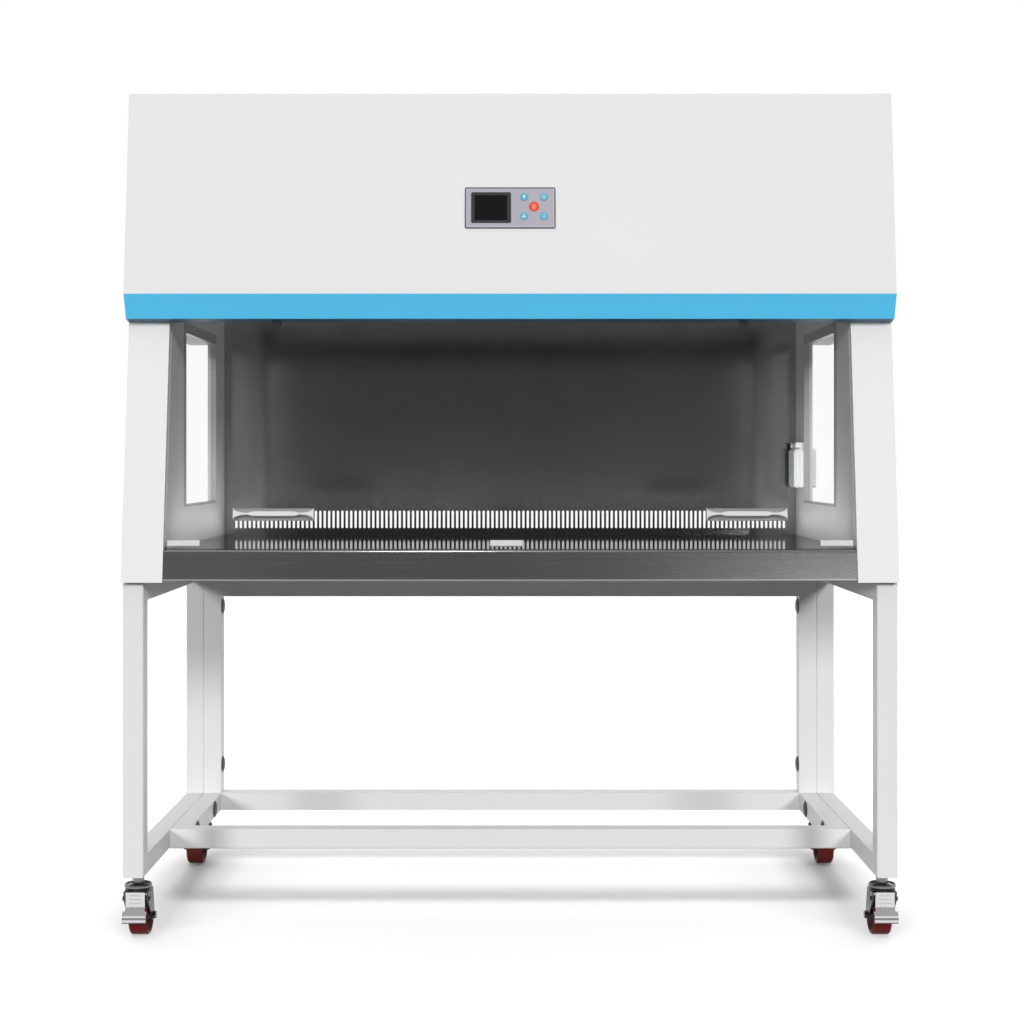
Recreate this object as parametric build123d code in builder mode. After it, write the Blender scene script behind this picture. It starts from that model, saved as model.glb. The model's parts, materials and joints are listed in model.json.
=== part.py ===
from build123d import *
from math import atan2, cos, degrees, radians, sin, tan
import os

# A vertical laminar flow hood on a wheeled tube stand. Millimetres, Z up, X to the right as the
# user faces it, Y to the back. The origin is on the floor, under the middle of the stand.

os.makedirs("parts", exist_ok=True)

# General
overall_width = 1500.0
sheet = 1.5
running_gap = 0.1
seat_gap = 0.3
through = 10.0

# Stand of square tube
stand_depth = 690.0
stand_top_z = 695.0
tube = 40.0
tube_edge = 1.5
frame_joint_gap = 0.5
ring_setback = 254.0
rear_beam_height = 80.0
cap_inset = 103.5
ring_cap_front = 94.0
ring_cap_rear = 128.5
cap_radius = 18.0
cap_crown_radius = 12.0
cap_height = 4.0
cap_rim = 1.5

# Casters
caster_inset = 6.0
caster_trail = 27.0
wheel_radius = 37.5
tyre_width = 36.0
tyre_thickness = 7.5
tyre_round = 3.0
hub_half_length = 20.3
hub_radius = 9.0
web_radius = 12.0
web_half_width = 6.0
axle_radius = 4.0
axle_head = 5.0
axle_head_radius = 7.5
cheek_inner_x = 21.0
cheek_thickness = 3.0
lug_radius = 11.0
kingpin_radius = 6.0
kingpin_head_radius = 9.0
kingpin_head = 3.5
kingpin_gap = 12.2
crown_radius = 25.5
crown_height = 9.0
yoke_depth = 46.0
disc_radius = 26.5
disc_height = 5.5
disc_rim = 2.0
nut_radius = 11.5
nut_height = 14.2
stem_length = 22.0
stem_radius = 6.0
pedal_thickness = 2.0
pedal_width = 37.0
pedal_lip_width = 45.6
pedal_lip_round = 3.0
pedal_pivot_y = -14.0
pedal_pivot_drop = 12.0
pedal_face_drop = 14.0
pedal_tread_drop = 13.0
pedal_lip_drop = 14.0
pedal_pin_radius = 2.5
pedal_pin_head_radius = 4.5
pedal_pin_head = 3.0
pedal_reach = 44.0
pedal_rib_height = 1.0
brake_gap = 1.33
brake_angle = 35.8
shoe_size = 9.0

# Cabinet
pillar_width = 80.0
pillar_depth = 208.5
wall = 20.0
base_height = 59.5
base_setback = 43.5
base_rim = 5.0
access_height = 444.0
ceiling_rise = 90.0
back_overhang = 10.0

# Leaning front: both pillars, the sash and the apron keep to one plane
front_lean = 8.14
foot_overhang = 18.5
foot_drop = 2.0
apron_recess = 3.0
apron_bend = 6.0
apron_hem_bend = 4.0

# Sash
guide_front = 8.0
guide_back = 32.0
guide_width = 16.0
guide_rise = 6.7
guide_head_gap = 50.0
glass_thickness = 5.0
glass_play = 1.5
glass_end_play = 2.0
glass_bite = 10.0
sash_rest_gap = 1.0
sash_overlap = 34.0
handle_inset = 211.0
handle_rise = 67.0
handle_length = 156.0
handle_height = 24.0
handle_plate = 3.0
handle_bar_length = 80.0
handle_bar_height = 9.2
handle_bar_depth = 5.0
handle_flare = 28.0
handle_neck = 3.6
finger_gap = 9.0
pad_inset = 37.0
pad_offset = -7.0
pad_width = 64.0
pad_height = 12.0
pad_depth = 8.0
pad_rise = 11.0
stop_width = 16.0
stop_depth = 20.0
stop_height = 6.0

# Side windows
window_front_margin = 10.0
window_sill = 77.0
window_header = 75.0
trim_front = 29.0
trim_back = 5.0
trim_low = 5.0
trim_high = 22.0
trim_depth = 11.5
pane_thickness = 5.0

# Slots of the rear wall
slot_pitch = 10.35
slot_width = 5.4
slot_height = 41.3
slot_rise = 35.7
slot_margin = 20.0

# Head
head_rake = 48.5
nose_overhang = 55.0
nose_height = 52.0
nose_lip_height = 5.0
nose_lip_setback = 20.5
nose_back_setback = 45.5
nose_thickness = 3.0
blower_inset = 420.0
blower_setback = 275.0
louvre_count = 13
louvre_pitch = 26.0
louvre_width = 10.0
louvre_length = 240.0
prefilter_margin = 12.0
prefilter_thickness = 10.0
prefilter_gap = 8.5

# Air path above the ceiling
baffle_gap = 50.8
diffuser_rows = 3
diffuser_columns = 16
diffuser_slot_width = 12.0
diffuser_bar = 26.7
filter_side_gap = 95.0
filter_margin = 7.0
filter_height = 69.0
filter_rim = 20.0
filter_recess = 8.0
plenum_height = 70.0
outlet_depth = 95.0
blower_width = 150.0
scroll_radius = 95.0
scroll_lift = 9.5
inlet_radius = 64.0
impeller_radius = 76.0
impeller_ring = 8.0
impeller_width = 116.0
impeller_plate = 3.0
blade_count = 18
blade_length = 13.0
blade_thickness = 1.6
blade_turn = 35.0
rotor_radius = 40.0
rotor_width = 56.0
motor_shaft_radius = 6.0
motor_boss_radius = 18.0
bracket_thickness = 3.0
bracket_width = 18.0

# Lamps
lamp_radius = 13.0
lamp_drop = 22.0
lamp_setbacks = (45.0, 100.0)
lamp_end_gaps = (58.0, 211.0)
holder_thickness = 12.0
holder_width = 30.0
holder_grip = 7.0

# Control panel, on the head front
panel_drop = 229.0
panel_left_margin = 12.05
panel_right_margin = 14.45
panel_gutter = 17.7
panel_rim = 10.1
panel_corner = 3.0
panel_thickness = 3.0
panel_lap = 4.0
display_width = 77.7
display_height = 61.1
display_lap = 1.4
display_depth = 12.0
display_rim = 1.2
screen_border = 5.75
screen_offset = -0.4
screen_recess = 0.8
board_thickness = 1.6
board_margin = 1.0
post_radius = 2.5
post_inset = 4.5
button_y = 2.3
button_spread = 19.35
blue_button_radius = 7.8
power_button_radius = 9.6
button_flange = 1.6
button_flange_height = 1.6
button_proud = 1.2
button_stalk_radius = 3.0
button_travel = 1.0

# Socket with a splash flap, on the right inner wall
socket_setback = 67.0
socket_rise = 155.0
socket_size = 86.0
socket_thickness = 8.0
socket_corner = 4.0
socket_well_radius = 22.0
socket_well_depth = 4.0
flap_width = 82.0
flap_below = 44.0
flap_above = 46.0
flap_depth = 13.0
flap_wall = 2.0
flap_edge = 5.0
flap_corner = 9.0
hinge_rise = 9.0
hinge_knuckle_radius = 4.5
hinge_knuckle_length = 56.0
hinge_lug_length = 8.0
hinge_pin_radius = 2.0
hinge_lug_gap = 2.0

# Power inlet, on the back of the head
inlet_inset = 150.0
inlet_drop = 90.0
inlet_width = 50.0
inlet_height = 32.0
inlet_flange = 7.0
inlet_flange_thickness = 2.0
inlet_depth = 24.0
inlet_recess_width = 25.0
inlet_recess_height = 17.0
inlet_recess_depth = 16.0

# Places worked out from the sizes above
half_width = overall_width / 2
half_depth = stand_depth / 2
half_work = half_width - pillar_width
lean = radians(front_lean)

kingpin_low_z = 2 * wheel_radius + kingpin_gap
yoke_low_z = kingpin_low_z + kingpin_head + seat_gap
crown_top_z = yoke_low_z + crown_height
disc_low_z = crown_top_z + seat_gap
disc_top_z = disc_low_z + disc_height
caster_height = disc_top_z + nut_height

base_top_z = stand_top_z + base_height
worktop_z = base_top_z + sheet
pillar_top_z = worktop_z + access_height
ceiling_z = pillar_top_z + ceiling_rise
filter_low_z = ceiling_z + sheet
plenum_low_z = filter_low_z + filter_height
deck_z = plenum_low_z + plenum_height
scroll_z = deck_z + scroll_radius + scroll_lift
head_top_z = scroll_z + scroll_radius + prefilter_gap + prefilter_thickness + sheet

cabinet_back_y = half_depth + back_overhang
wall_front_y = cabinet_back_y - 2 * sheet
front_foot_y = -half_depth - foot_overhang
front_foot_z = stand_top_z - foot_drop
pillar_back_y = front_foot_y + pillar_depth
base_front_y = front_foot_y + base_setback
blower_x = half_width - blower_inset
blower_y = cabinet_back_y - blower_setback
filter_half_width = half_width - filter_side_gap
glass_front = (guide_front + guide_back - glass_thickness) / 2


def face_y(z, depth=0.0):
    """Y of the leaning front plane at height z, set back square to it by depth."""
    return front_foot_y + (z - front_foot_z) * tan(lean) + depth / cos(lean)


def lean_plane(z, depth=0.0, x=0.0):
    """Plane that faces out of the leaning front, with its own Y up the slope."""
    return Plane(
        origin=(x, face_y(z, depth), z), x_dir=(1, 0, 0), z_dir=(0, -cos(lean), sin(lean))
    )


# The nose and the baffle keep their distance from the leaning front
nose_z = pillar_top_z + nose_height
nose_y = face_y(nose_z) - nose_overhang
nose_lip_z = pillar_top_z + nose_lip_height
nose_lip_y = nose_y + nose_lip_setback
nose_back_y = nose_y + nose_back_setback
head_front_top_y = nose_y + head_rake
baffle_y = face_y(ceiling_z, guide_back) + baffle_gap


def head_y(z, depth=0.0):
    """Y of the head's front plane at height z, set back square to it by depth."""
    run = head_front_top_y - nose_y
    rise = head_top_z - nose_z
    return nose_y + (z - nose_z) * run / rise + depth / cos(atan2(run, rise))


def head_plane(z, depth=0.0):
    """Plane that faces out of the head's front, with its own Y up the slope."""
    tilt = atan2(head_front_top_y - nose_y, head_top_z - nose_z)
    return Plane(
        origin=(0, head_y(z, depth), z), x_dir=(1, 0, 0), z_dir=(0, -cos(tilt), sin(tilt))
    )


def save(piece, name):
    """Label one finished piece and write it to its own file."""
    piece.label = name
    export_step(piece, f"parts/{name}.step")


def save_pair(piece, name):
    """Write the right-hand piece and its mirror image on the left."""
    save(mirror(piece, about=Plane.YZ), f"{name}_left")
    save(piece, f"{name}_right")


# Side frame: one welded rectangle of tube, with a stem hole in the foot of each leg
leg_inner_x = half_width - tube
caster_x = half_width - tube / 2 - caster_inset
caster_y = half_depth - tube / 2
side_frame_height = stand_top_z - caster_height
with BuildPart() as side_frame:
    with BuildSketch(Plane.YZ.offset(leg_inner_x)):
        with Locations((0, caster_height + side_frame_height / 2)):
            Rectangle(stand_depth, side_frame_height)
            Rectangle(stand_depth - 2 * tube, side_frame_height - 2 * tube, mode=Mode.SUBTRACT)
    extrude(amount=tube)
    chamfer(side_frame.faces().filter_by(Axis.X).edges(), tube_edge)
    with BuildSketch(Plane.XY.offset(caster_height)):
        with Locations((caster_x, caster_y), (caster_x, -caster_y)):
            Circle(stem_radius + running_gap)
    extrude(amount=stem_length + seat_gap, mode=Mode.SUBTRACT)
save_pair(side_frame.part, "side_frame")

# Inner frame: floor ring, two rear posts and the beam under the back of the cabinet
ring_outer_x = leg_inner_x - frame_joint_gap
ring_inner_x = ring_outer_x - tube
ring_front_y = ring_setback - half_depth
ring_depth = half_depth - ring_front_y
ring_y = (half_depth + ring_front_y) / 2
post_y = half_depth - tube / 2
post_height = stand_top_z - caster_height
with BuildPart() as inner_frame:
    with BuildSketch(Plane.XY.offset(caster_height)):
        with Locations((0, ring_y)):
            Rectangle(2 * ring_outer_x, ring_depth)
            Rectangle(2 * ring_inner_x, ring_depth - 2 * tube, mode=Mode.SUBTRACT)
    extrude(amount=tube)
    chamfer(inner_frame.faces().filter_by(Axis.Z).edges(), tube_edge)
    with BuildSketch(Plane.XZ.offset(tube - half_depth)):
        with Locations((0, caster_height + post_height / 2)):
            Rectangle(2 * ring_outer_x, post_height)
        with Locations((0, caster_height + (post_height - rear_beam_height) / 2)):
            Rectangle(2 * ring_inner_x, post_height - rear_beam_height, mode=Mode.SUBTRACT)
        with Locations((0, caster_height + tube / 2)):
            Rectangle(2 * ring_inner_x, tube)
    extrude(amount=-tube)
save(inner_frame.part, "inner_frame")

# Black caps over the bolts that join the inner frame to the side frames
cap_spots = [
    (post_y, caster_height + cap_inset),
    (post_y, stand_top_z - cap_inset),
    (ring_front_y + ring_cap_front, caster_height + tube / 2),
    (half_depth - ring_cap_rear, caster_height + tube / 2),
]
with BuildPart() as bolt_caps:
    for side in (-1, 1):
        seats = [
            Location(Plane(origin=(side * ring_inner_x, y, z), z_dir=(-side, 0, 0)))
            for y, z in cap_spots
        ]
        with Locations(*seats):
            Cylinder(cap_radius, cap_rim, align=(Align.CENTER, Align.CENTER, Align.MIN))
        crowns = [seat * Location((0, 0, cap_rim)) for seat in seats]
        with Locations(*crowns):
            Cone(
                cap_radius, cap_crown_radius, cap_height - cap_rim,
                align=(Align.CENTER, Align.CENTER, Align.MIN),
            )
save(bolt_caps.part, "bolt_caps")

# Casters, each modelled about its own stem with the pedal towards -Y
corners = {
    "front_left": Location((-caster_x, -caster_y, 0)),
    "front_right": Location((caster_x, -caster_y, 0)),
    "rear_left": Location((-caster_x, caster_y, 0), (0, 0, 180)),
    "rear_right": Location((caster_x, caster_y, 0), (0, 0, 180)),
}
cheek_outer_x = cheek_inner_x + cheek_thickness
pedal_pivot_z = yoke_low_z - pedal_pivot_drop

# Fixed half: kingpin, dished raceway disc, hexagon nut and threaded stem
with BuildPart() as stem:
    with BuildSketch(Plane.XZ):
        with BuildLine():
            Polyline(
                (0, kingpin_low_z),
                (kingpin_head_radius, kingpin_low_z),
                (kingpin_head_radius, yoke_low_z - seat_gap),
                (kingpin_radius, yoke_low_z - seat_gap),
                (kingpin_radius, disc_low_z),
                (disc_radius, disc_low_z),
                (disc_radius, disc_top_z - disc_rim),
                (disc_radius - disc_rim, disc_top_z),
                (disc_radius - 2 * disc_rim, disc_top_z - disc_rim),
                (nut_radius, disc_top_z),
                (stem_radius, disc_top_z),
                (stem_radius, caster_height + stem_length),
                (0, caster_height + stem_length),
                close=True,
            )
        make_face()
    revolve(axis=Axis.Z)
    with BuildSketch(Plane.XY.offset(disc_top_z)):
        RegularPolygon(nut_radius, 6)
    extrude(amount=nut_height)
save(Compound([spot * stem.part for spot in corners.values()]), "caster_stems")

# Fork: domed crown, yoke plate, two tapering cheeks, the axle bolt and the pedal's headed pin
with BuildPart() as fork:
    with BuildSketch(Plane.XZ):
        with BuildLine():
            Polyline(
                (0, yoke_low_z),
                (crown_radius, yoke_low_z),
                (crown_radius, crown_top_z - crown_height / 2),
                (crown_radius - crown_height / 3, crown_top_z),
                (0, crown_top_z),
                close=True,
            )
        make_face()
    revolve(axis=Axis.Z)
    with BuildSketch(Plane.XY.offset(yoke_low_z)):
        Rectangle(2 * cheek_outer_x, yoke_depth)
    extrude(amount=cheek_thickness)
    for side in (-1, 1):
        cheek_x = cheek_inner_x if side > 0 else -cheek_outer_x
        with BuildSketch(Plane.YZ.offset(cheek_x)):
            with Locations((caster_trail, wheel_radius)):
                Circle(lug_radius)
            with Locations((0, yoke_low_z + cheek_thickness / 2)):
                Rectangle(yoke_depth, cheek_thickness)
            with Locations((pedal_pivot_y, pedal_pivot_z)):
                Circle(3 * pedal_pin_radius)
            make_hull()
        extrude(amount=cheek_thickness)
        head_x = cheek_outer_x if side > 0 else -cheek_outer_x - axle_head
        with BuildSketch(Plane.YZ.offset(head_x)):
            with Locations((caster_trail, wheel_radius)):
                RegularPolygon(axle_head_radius, 6)
        extrude(amount=axle_head)
        head_x = cheek_outer_x if side > 0 else -cheek_outer_x - pedal_pin_head
        with BuildSketch(Plane.YZ.offset(head_x)):
            with Locations((pedal_pivot_y, pedal_pivot_z)):
                Circle(pedal_pin_head_radius)
        extrude(amount=pedal_pin_head)
    with BuildSketch(Plane.YZ.offset(-cheek_outer_x)):
        with Locations((caster_trail, wheel_radius)):
            Circle(axle_radius)
        with Locations((pedal_pivot_y, pedal_pivot_z)):
            Circle(pedal_pin_radius)
    extrude(amount=2 * cheek_outer_x)
    with BuildSketch(Plane.XY.offset(yoke_low_z)):
        Circle(kingpin_radius + running_gap)
    extrude(amount=crown_height, mode=Mode.SUBTRACT)

# Wheel core and tyre, turned about the axle
core_radius = wheel_radius - tyre_thickness
half_tyre = tyre_width / 2
axle_plane = Plane(origin=(0, caster_trail, wheel_radius), x_dir=(1, 0, 0), z_dir=(0, -1, 0))
axle_line = Axis((0, caster_trail, wheel_radius), (1, 0, 0))
core_half_width = half_tyre - tyre_round
with BuildPart() as wheel_core:
    with BuildSketch(axle_plane):
        with BuildLine():
            Polyline(
                (-hub_half_length, axle_radius + running_gap),
                (hub_half_length, axle_radius + running_gap),
                (hub_half_length, hub_radius),
                (web_half_width, web_radius),
                (web_half_width, core_radius - tyre_round),
                (core_half_width, core_radius),
                (-core_half_width, core_radius),
                (-web_half_width, core_radius - tyre_round),
                (-web_half_width, web_radius),
                (-hub_half_length, hub_radius),
                close=True,
            )
        make_face()
    revolve(axis=axle_line)

with BuildPart() as tyre:
    with BuildSketch(axle_plane):
        with BuildLine():
            Polyline(
                (-core_half_width, core_radius),
                (core_half_width, core_radius),
                (half_tyre, core_radius + tyre_round),
                (half_tyre, wheel_radius - tyre_round),
                (half_tyre - tyre_round, wheel_radius),
                (tyre_round - half_tyre, wheel_radius),
                (-half_tyre, wheel_radius - tyre_round),
                (-half_tyre, core_radius + tyre_round),
                close=True,
            )
        make_face()
    revolve(axis=axle_line)

# Brake pedal: ribbed face, flared tread with a turned lip, ears on the pin, and the brake shoe
face_top_z = yoke_low_z + cheek_thickness
face_low_z = pedal_pivot_z - pedal_face_drop
lip_z = face_low_z - pedal_tread_drop
lip_end_z = lip_z - pedal_lip_drop
pedal_face_y = -crown_radius - 0.75 * pedal_thickness
tread_y = pedal_thickness - pedal_reach
shoe_y = caster_trail - (wheel_radius + brake_gap) * cos(radians(brake_angle))
shoe_z = wheel_radius + (wheel_radius + brake_gap) * sin(radians(brake_angle))
with BuildPart() as pedal:
    with BuildSketch(Plane.YZ.offset(-pedal_width / 2)):
        with BuildLine():
            Polyline((pedal_face_y, face_top_z), (pedal_face_y, face_low_z), (tread_y, lip_z))
        trace(line_width=pedal_thickness)
    extrude(amount=pedal_width)
    with BuildSketch(Plane.YZ.offset(-pedal_lip_width / 2)):
        with BuildLine():
            Polyline(
                ((pedal_face_y + tread_y) / 2, (face_low_z + lip_z) / 2),
                (tread_y, lip_z),
                (pedal_thickness / 2 - pedal_reach, lip_end_z),
            )
        trace(line_width=pedal_thickness)
    extrude(amount=pedal_lip_width)
    ear_x = pedal_width / 2 - pedal_thickness
    for side in (-1, 1):
        with BuildSketch(Plane.YZ.offset(ear_x if side > 0 else -pedal_width / 2)):
            with Locations((pedal_pivot_y, pedal_pivot_z)):
                Circle(2.4 * pedal_pin_radius)
            with Locations((pedal_face_y, (face_top_z + face_low_z) / 2)):
                Rectangle(pedal_thickness, face_top_z - face_low_z - 2 * pedal_thickness)
            with Locations((shoe_y - shoe_size / 2, shoe_z + shoe_size / 2)):
                Rectangle(shoe_size, shoe_size)
            make_hull()
        extrude(amount=pedal_thickness)
    with BuildSketch(Plane.YZ.offset(-ear_x)):
        with Locations((shoe_y - shoe_size / 2, shoe_z + shoe_size / 2)):
            Rectangle(shoe_size, shoe_size)
    extrude(amount=2 * ear_x)
    with BuildSketch(Plane.YZ.offset(-pedal_width / 2)):
        with Locations((pedal_pivot_y, pedal_pivot_z)):
            Circle(pedal_pin_radius + running_gap)
    extrude(amount=pedal_width, mode=Mode.SUBTRACT)
    with BuildSketch(Plane.XZ.offset(pedal_thickness / 2 - pedal_face_y)):
        with Locations((0, (face_top_z + face_low_z) / 2)):
            with GridLocations(0, (face_top_z - face_low_z) / 4, 1, 3):
                Rectangle(pedal_width * 0.6, 2 * pedal_rib_height)
    extrude(amount=pedal_rib_height)

for corner, spot in corners.items():
    save(spot * fork.part, f"caster_fork_{corner}")
    save(spot * wheel_core.part, f"caster_wheel_{corner}")
    save(spot * tyre.part, f"caster_tyre_{corner}")
    save(spot * pedal.part, f"caster_pedal_{corner}")

# Base tray under the worktop, narrower in front where the pillars stand beside it
base_side_x = half_work + wall
with BuildPart() as base_box:
    with BuildSketch(Plane.XY.offset(stand_top_z)):
        with BuildLine():
            Polyline(
                (-base_side_x, base_front_y),
                (base_side_x, base_front_y),
                (base_side_x, pillar_back_y),
                (half_width, pillar_back_y),
                (half_width, cabinet_back_y),
                (-half_width, cabinet_back_y),
                (-half_width, pillar_back_y),
                (-base_side_x, pillar_back_y),
                close=True,
            )
        make_face()
    extrude(amount=base_top_z - stand_top_z)
    tray_depth = cabinet_back_y - base_front_y - base_rim - sheet
    with BuildSketch(Plane.XY.offset(base_top_z)):
        with Locations((0, base_front_y + sheet)):
            Rectangle(2 * (half_work - base_rim), tray_depth, align=(Align.CENTER, Align.MIN))
    extrude(amount=stand_top_z + sheet - base_top_z, mode=Mode.SUBTRACT)
save(base_box.part, "base_box")

# Worktop: one sheet, folded down as the apron and back under it as a hem
with BuildPart() as worktop:
    with BuildSketch(Plane.YZ):
        with BuildLine():
            FilletPolyline(
                (wall_front_y, worktop_z),
                (face_y(worktop_z, apron_recess), worktop_z),
                (face_y(stand_top_z, apron_recess), stand_top_z),
                (base_front_y, stand_top_z),
                radius=(apron_bend, apron_hem_bend),
            )
            offset(amount=sheet, side=Side.LEFT)
        make_face()
    extrude(amount=half_work - frame_joint_gap, both=True)
save(worktop.part, "worktop")

# Front pillar: a folded cover, open inwards where the guide and the side panel close it
foot_z = front_foot_z - through
top_z = pillar_top_z + through
with BuildPart() as pillar:
    with BuildSketch(Plane.YZ.offset(half_work)):
        with BuildLine():
            Polyline(
                (face_y(front_foot_z), front_foot_z),
                (face_y(pillar_top_z), pillar_top_z),
                (pillar_back_y, pillar_top_z),
                (pillar_back_y, front_foot_z),
                close=True,
            )
        make_face()
    extrude(amount=half_width - half_work)
    with BuildSketch(Plane.YZ.offset(half_work + sheet)):
        with BuildLine():
            Polyline(
                (face_y(foot_z, sheet), foot_z),
                (face_y(top_z, sheet), top_z),
                (pillar_back_y - sheet, top_z),
                (pillar_back_y - sheet, foot_z),
                close=True,
            )
        make_face()
    extrude(amount=half_width - half_work - 2 * sheet, mode=Mode.SUBTRACT)
    with BuildSketch(Plane.YZ.offset(half_work)):
        with BuildLine():
            Polyline(
                (face_y(foot_z, guide_front), foot_z),
                (face_y(top_z, guide_front), top_z),
                (pillar_back_y + through, top_z),
                (pillar_back_y + through, foot_z),
                close=True,
            )
        make_face()
    extrude(amount=wall, mode=Mode.SUBTRACT)
    with BuildSketch(Plane.YZ.offset(half_work)):
        with BuildLine():
            Polyline(
                (face_y(foot_z, 2 * sheet), foot_z),
                (face_y(stand_top_z, 2 * sheet), stand_top_z),
                (pillar_back_y + through, stand_top_z),
                (pillar_back_y + through, foot_z),
                close=True,
            )
        make_face()
    extrude(amount=half_width - half_work, mode=Mode.SUBTRACT)
save_pair(pillar.part, "pillar")

# Sash guide: a channel along the slope, which takes the edge of the glass
guide_low_z = worktop_z + guide_rise
guide_length = (head_top_z - guide_head_gap - guide_low_z) / cos(lean)
guide_seat = lean_plane(guide_low_z, guide_front)
groove_inset = glass_front - glass_play - guide_front
with BuildPart() as sash_guide:
    with BuildSketch(guide_seat):
        with Locations((half_work + guide_width / 2, guide_length / 2)):
            Rectangle(guide_width, guide_length)
    extrude(amount=guide_front - guide_back)
    with BuildSketch(guide_seat.offset(-groove_inset)):
        with Locations((half_work + (glass_bite + glass_end_play) / 2, guide_length / 2)):
            Rectangle(glass_bite + glass_end_play, guide_length)
    extrude(amount=-glass_thickness - 2 * glass_play, mode=Mode.SUBTRACT)
save_pair(sash_guide.part, "sash_guide")

# Side panel with its window opening
socket_y = cabinet_back_y - socket_setback
window_front_y = pillar_back_y + window_front_margin
window_back_y = socket_y - socket_size / 2
window_low_z = worktop_z + window_sill
window_high_z = ceiling_z - window_header
window_y = (window_front_y + window_back_y) / 2
window_z = (window_low_z + window_high_z) / 2
window_depth = window_back_y - window_front_y
window_height = window_high_z - window_low_z
with BuildPart() as side_panel:
    with BuildSketch(Plane.YZ.offset(half_work)):
        with BuildLine():
            Polyline(
                (face_y(base_top_z, guide_back), base_top_z),
                (face_y(ceiling_z, guide_back), ceiling_z),
                (wall_front_y, ceiling_z),
                (wall_front_y, base_top_z),
                close=True,
            )
        make_face()
        with Locations((window_y, window_z)):
            Rectangle(window_depth, window_height, mode=Mode.SUBTRACT)
    extrude(amount=wall)
save_pair(side_panel.part, "side_panel")

# Window trim, which frames the clear view, and the pane behind it
clear_y = (window_front_y + trim_front + window_back_y - trim_back) / 2
clear_z = (window_low_z + trim_low + window_high_z - trim_high) / 2
clear_depth = window_depth - trim_front - trim_back
clear_height = window_height - trim_low - trim_high
with BuildPart() as window_trims:
    with BuildSketch(Plane.YZ.offset(half_work)):
        with Locations((window_y, window_z)):
            Rectangle(window_depth, window_height)
        with Locations((clear_y, clear_z)):
            Rectangle(clear_depth, clear_height, mode=Mode.SUBTRACT)
    extrude(amount=trim_depth)
    mirror(about=Plane.YZ)
save(window_trims.part, "window_trims")

with BuildPart() as window_panes:
    with BuildSketch(Plane.YZ.offset(half_work + trim_depth)):
        with Locations((window_y, window_z)):
            Rectangle(window_depth - 2 * seat_gap, window_height - 2 * seat_gap)
    extrude(amount=pane_thickness)
    mirror(about=Plane.YZ)
save(window_panes.part, "window_panes")

# Rear wall with the row of upright slots that lets the air out
wall_height = ceiling_z - base_top_z
slot_count = int(2 * (half_work - slot_margin) / slot_pitch)
with BuildPart() as rear_wall:
    with BuildSketch(Plane.XZ.offset(-wall_front_y)):
        with Locations((0, base_top_z + wall_height / 2)):
            Rectangle(2 * (half_work + wall), wall_height)
        with Locations((0, worktop_z + slot_rise)):
            with GridLocations(slot_pitch, 0, slot_count, 1):
                Rectangle(slot_width, slot_height, mode=Mode.SUBTRACT)
    extrude(amount=-sheet)
save(rear_wall.part, "rear_wall")

# Blue nose trim under the head's front
with BuildPart() as nose_trim:
    with BuildSketch(Plane.YZ):
        with BuildLine():
            Polyline((nose_y, nose_z), (nose_lip_y, nose_lip_z), (nose_back_y, pillar_top_z))
            offset(amount=nose_thickness, side=Side.LEFT)
        make_face()
    extrude(amount=half_width, both=True)
save(nose_trim.part, "nose_trim")

# Rubber stops under the nose, which the handles meet when the sash is fully up
handle_x = half_work - handle_inset
with BuildPart() as sash_stops:
    with BuildSketch(Plane.XY.offset(pillar_top_z - stop_height)):
        with Locations((-handle_x, nose_back_y), (handle_x, nose_back_y)):
            Rectangle(stop_width, stop_depth)
    extrude(amount=stop_height + nose_thickness)
    add(nose_trim.part, mode=Mode.SUBTRACT)
save(sash_stops.part, "sash_stops")

# Head front panel, cut out behind the control plate
panel_z = head_top_z - panel_drop
half_cluster = button_spread + blue_button_radius
panel_width = (
    panel_left_margin + display_width + panel_gutter + 2 * half_cluster + panel_right_margin
)
panel_height = display_height + 2 * panel_rim
with BuildPart() as head_front:
    with BuildSketch(Plane.YZ):
        with BuildLine():
            Polyline(
                (head_y(nose_z), nose_z),
                (head_y(head_top_z), head_top_z),
                (head_y(head_top_z, sheet), head_top_z),
                (head_y(nose_z, sheet), nose_z),
                close=True,
            )
        make_face()
    extrude(amount=half_width, both=True)
    add(nose_trim.part, mode=Mode.SUBTRACT)
    with BuildSketch(head_plane(panel_z)):
        Rectangle(panel_width - 2 * panel_lap, panel_height - 2 * panel_lap)
    extrude(amount=-through, mode=Mode.SUBTRACT)
save(head_front.part, "head_front_panel")

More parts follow.
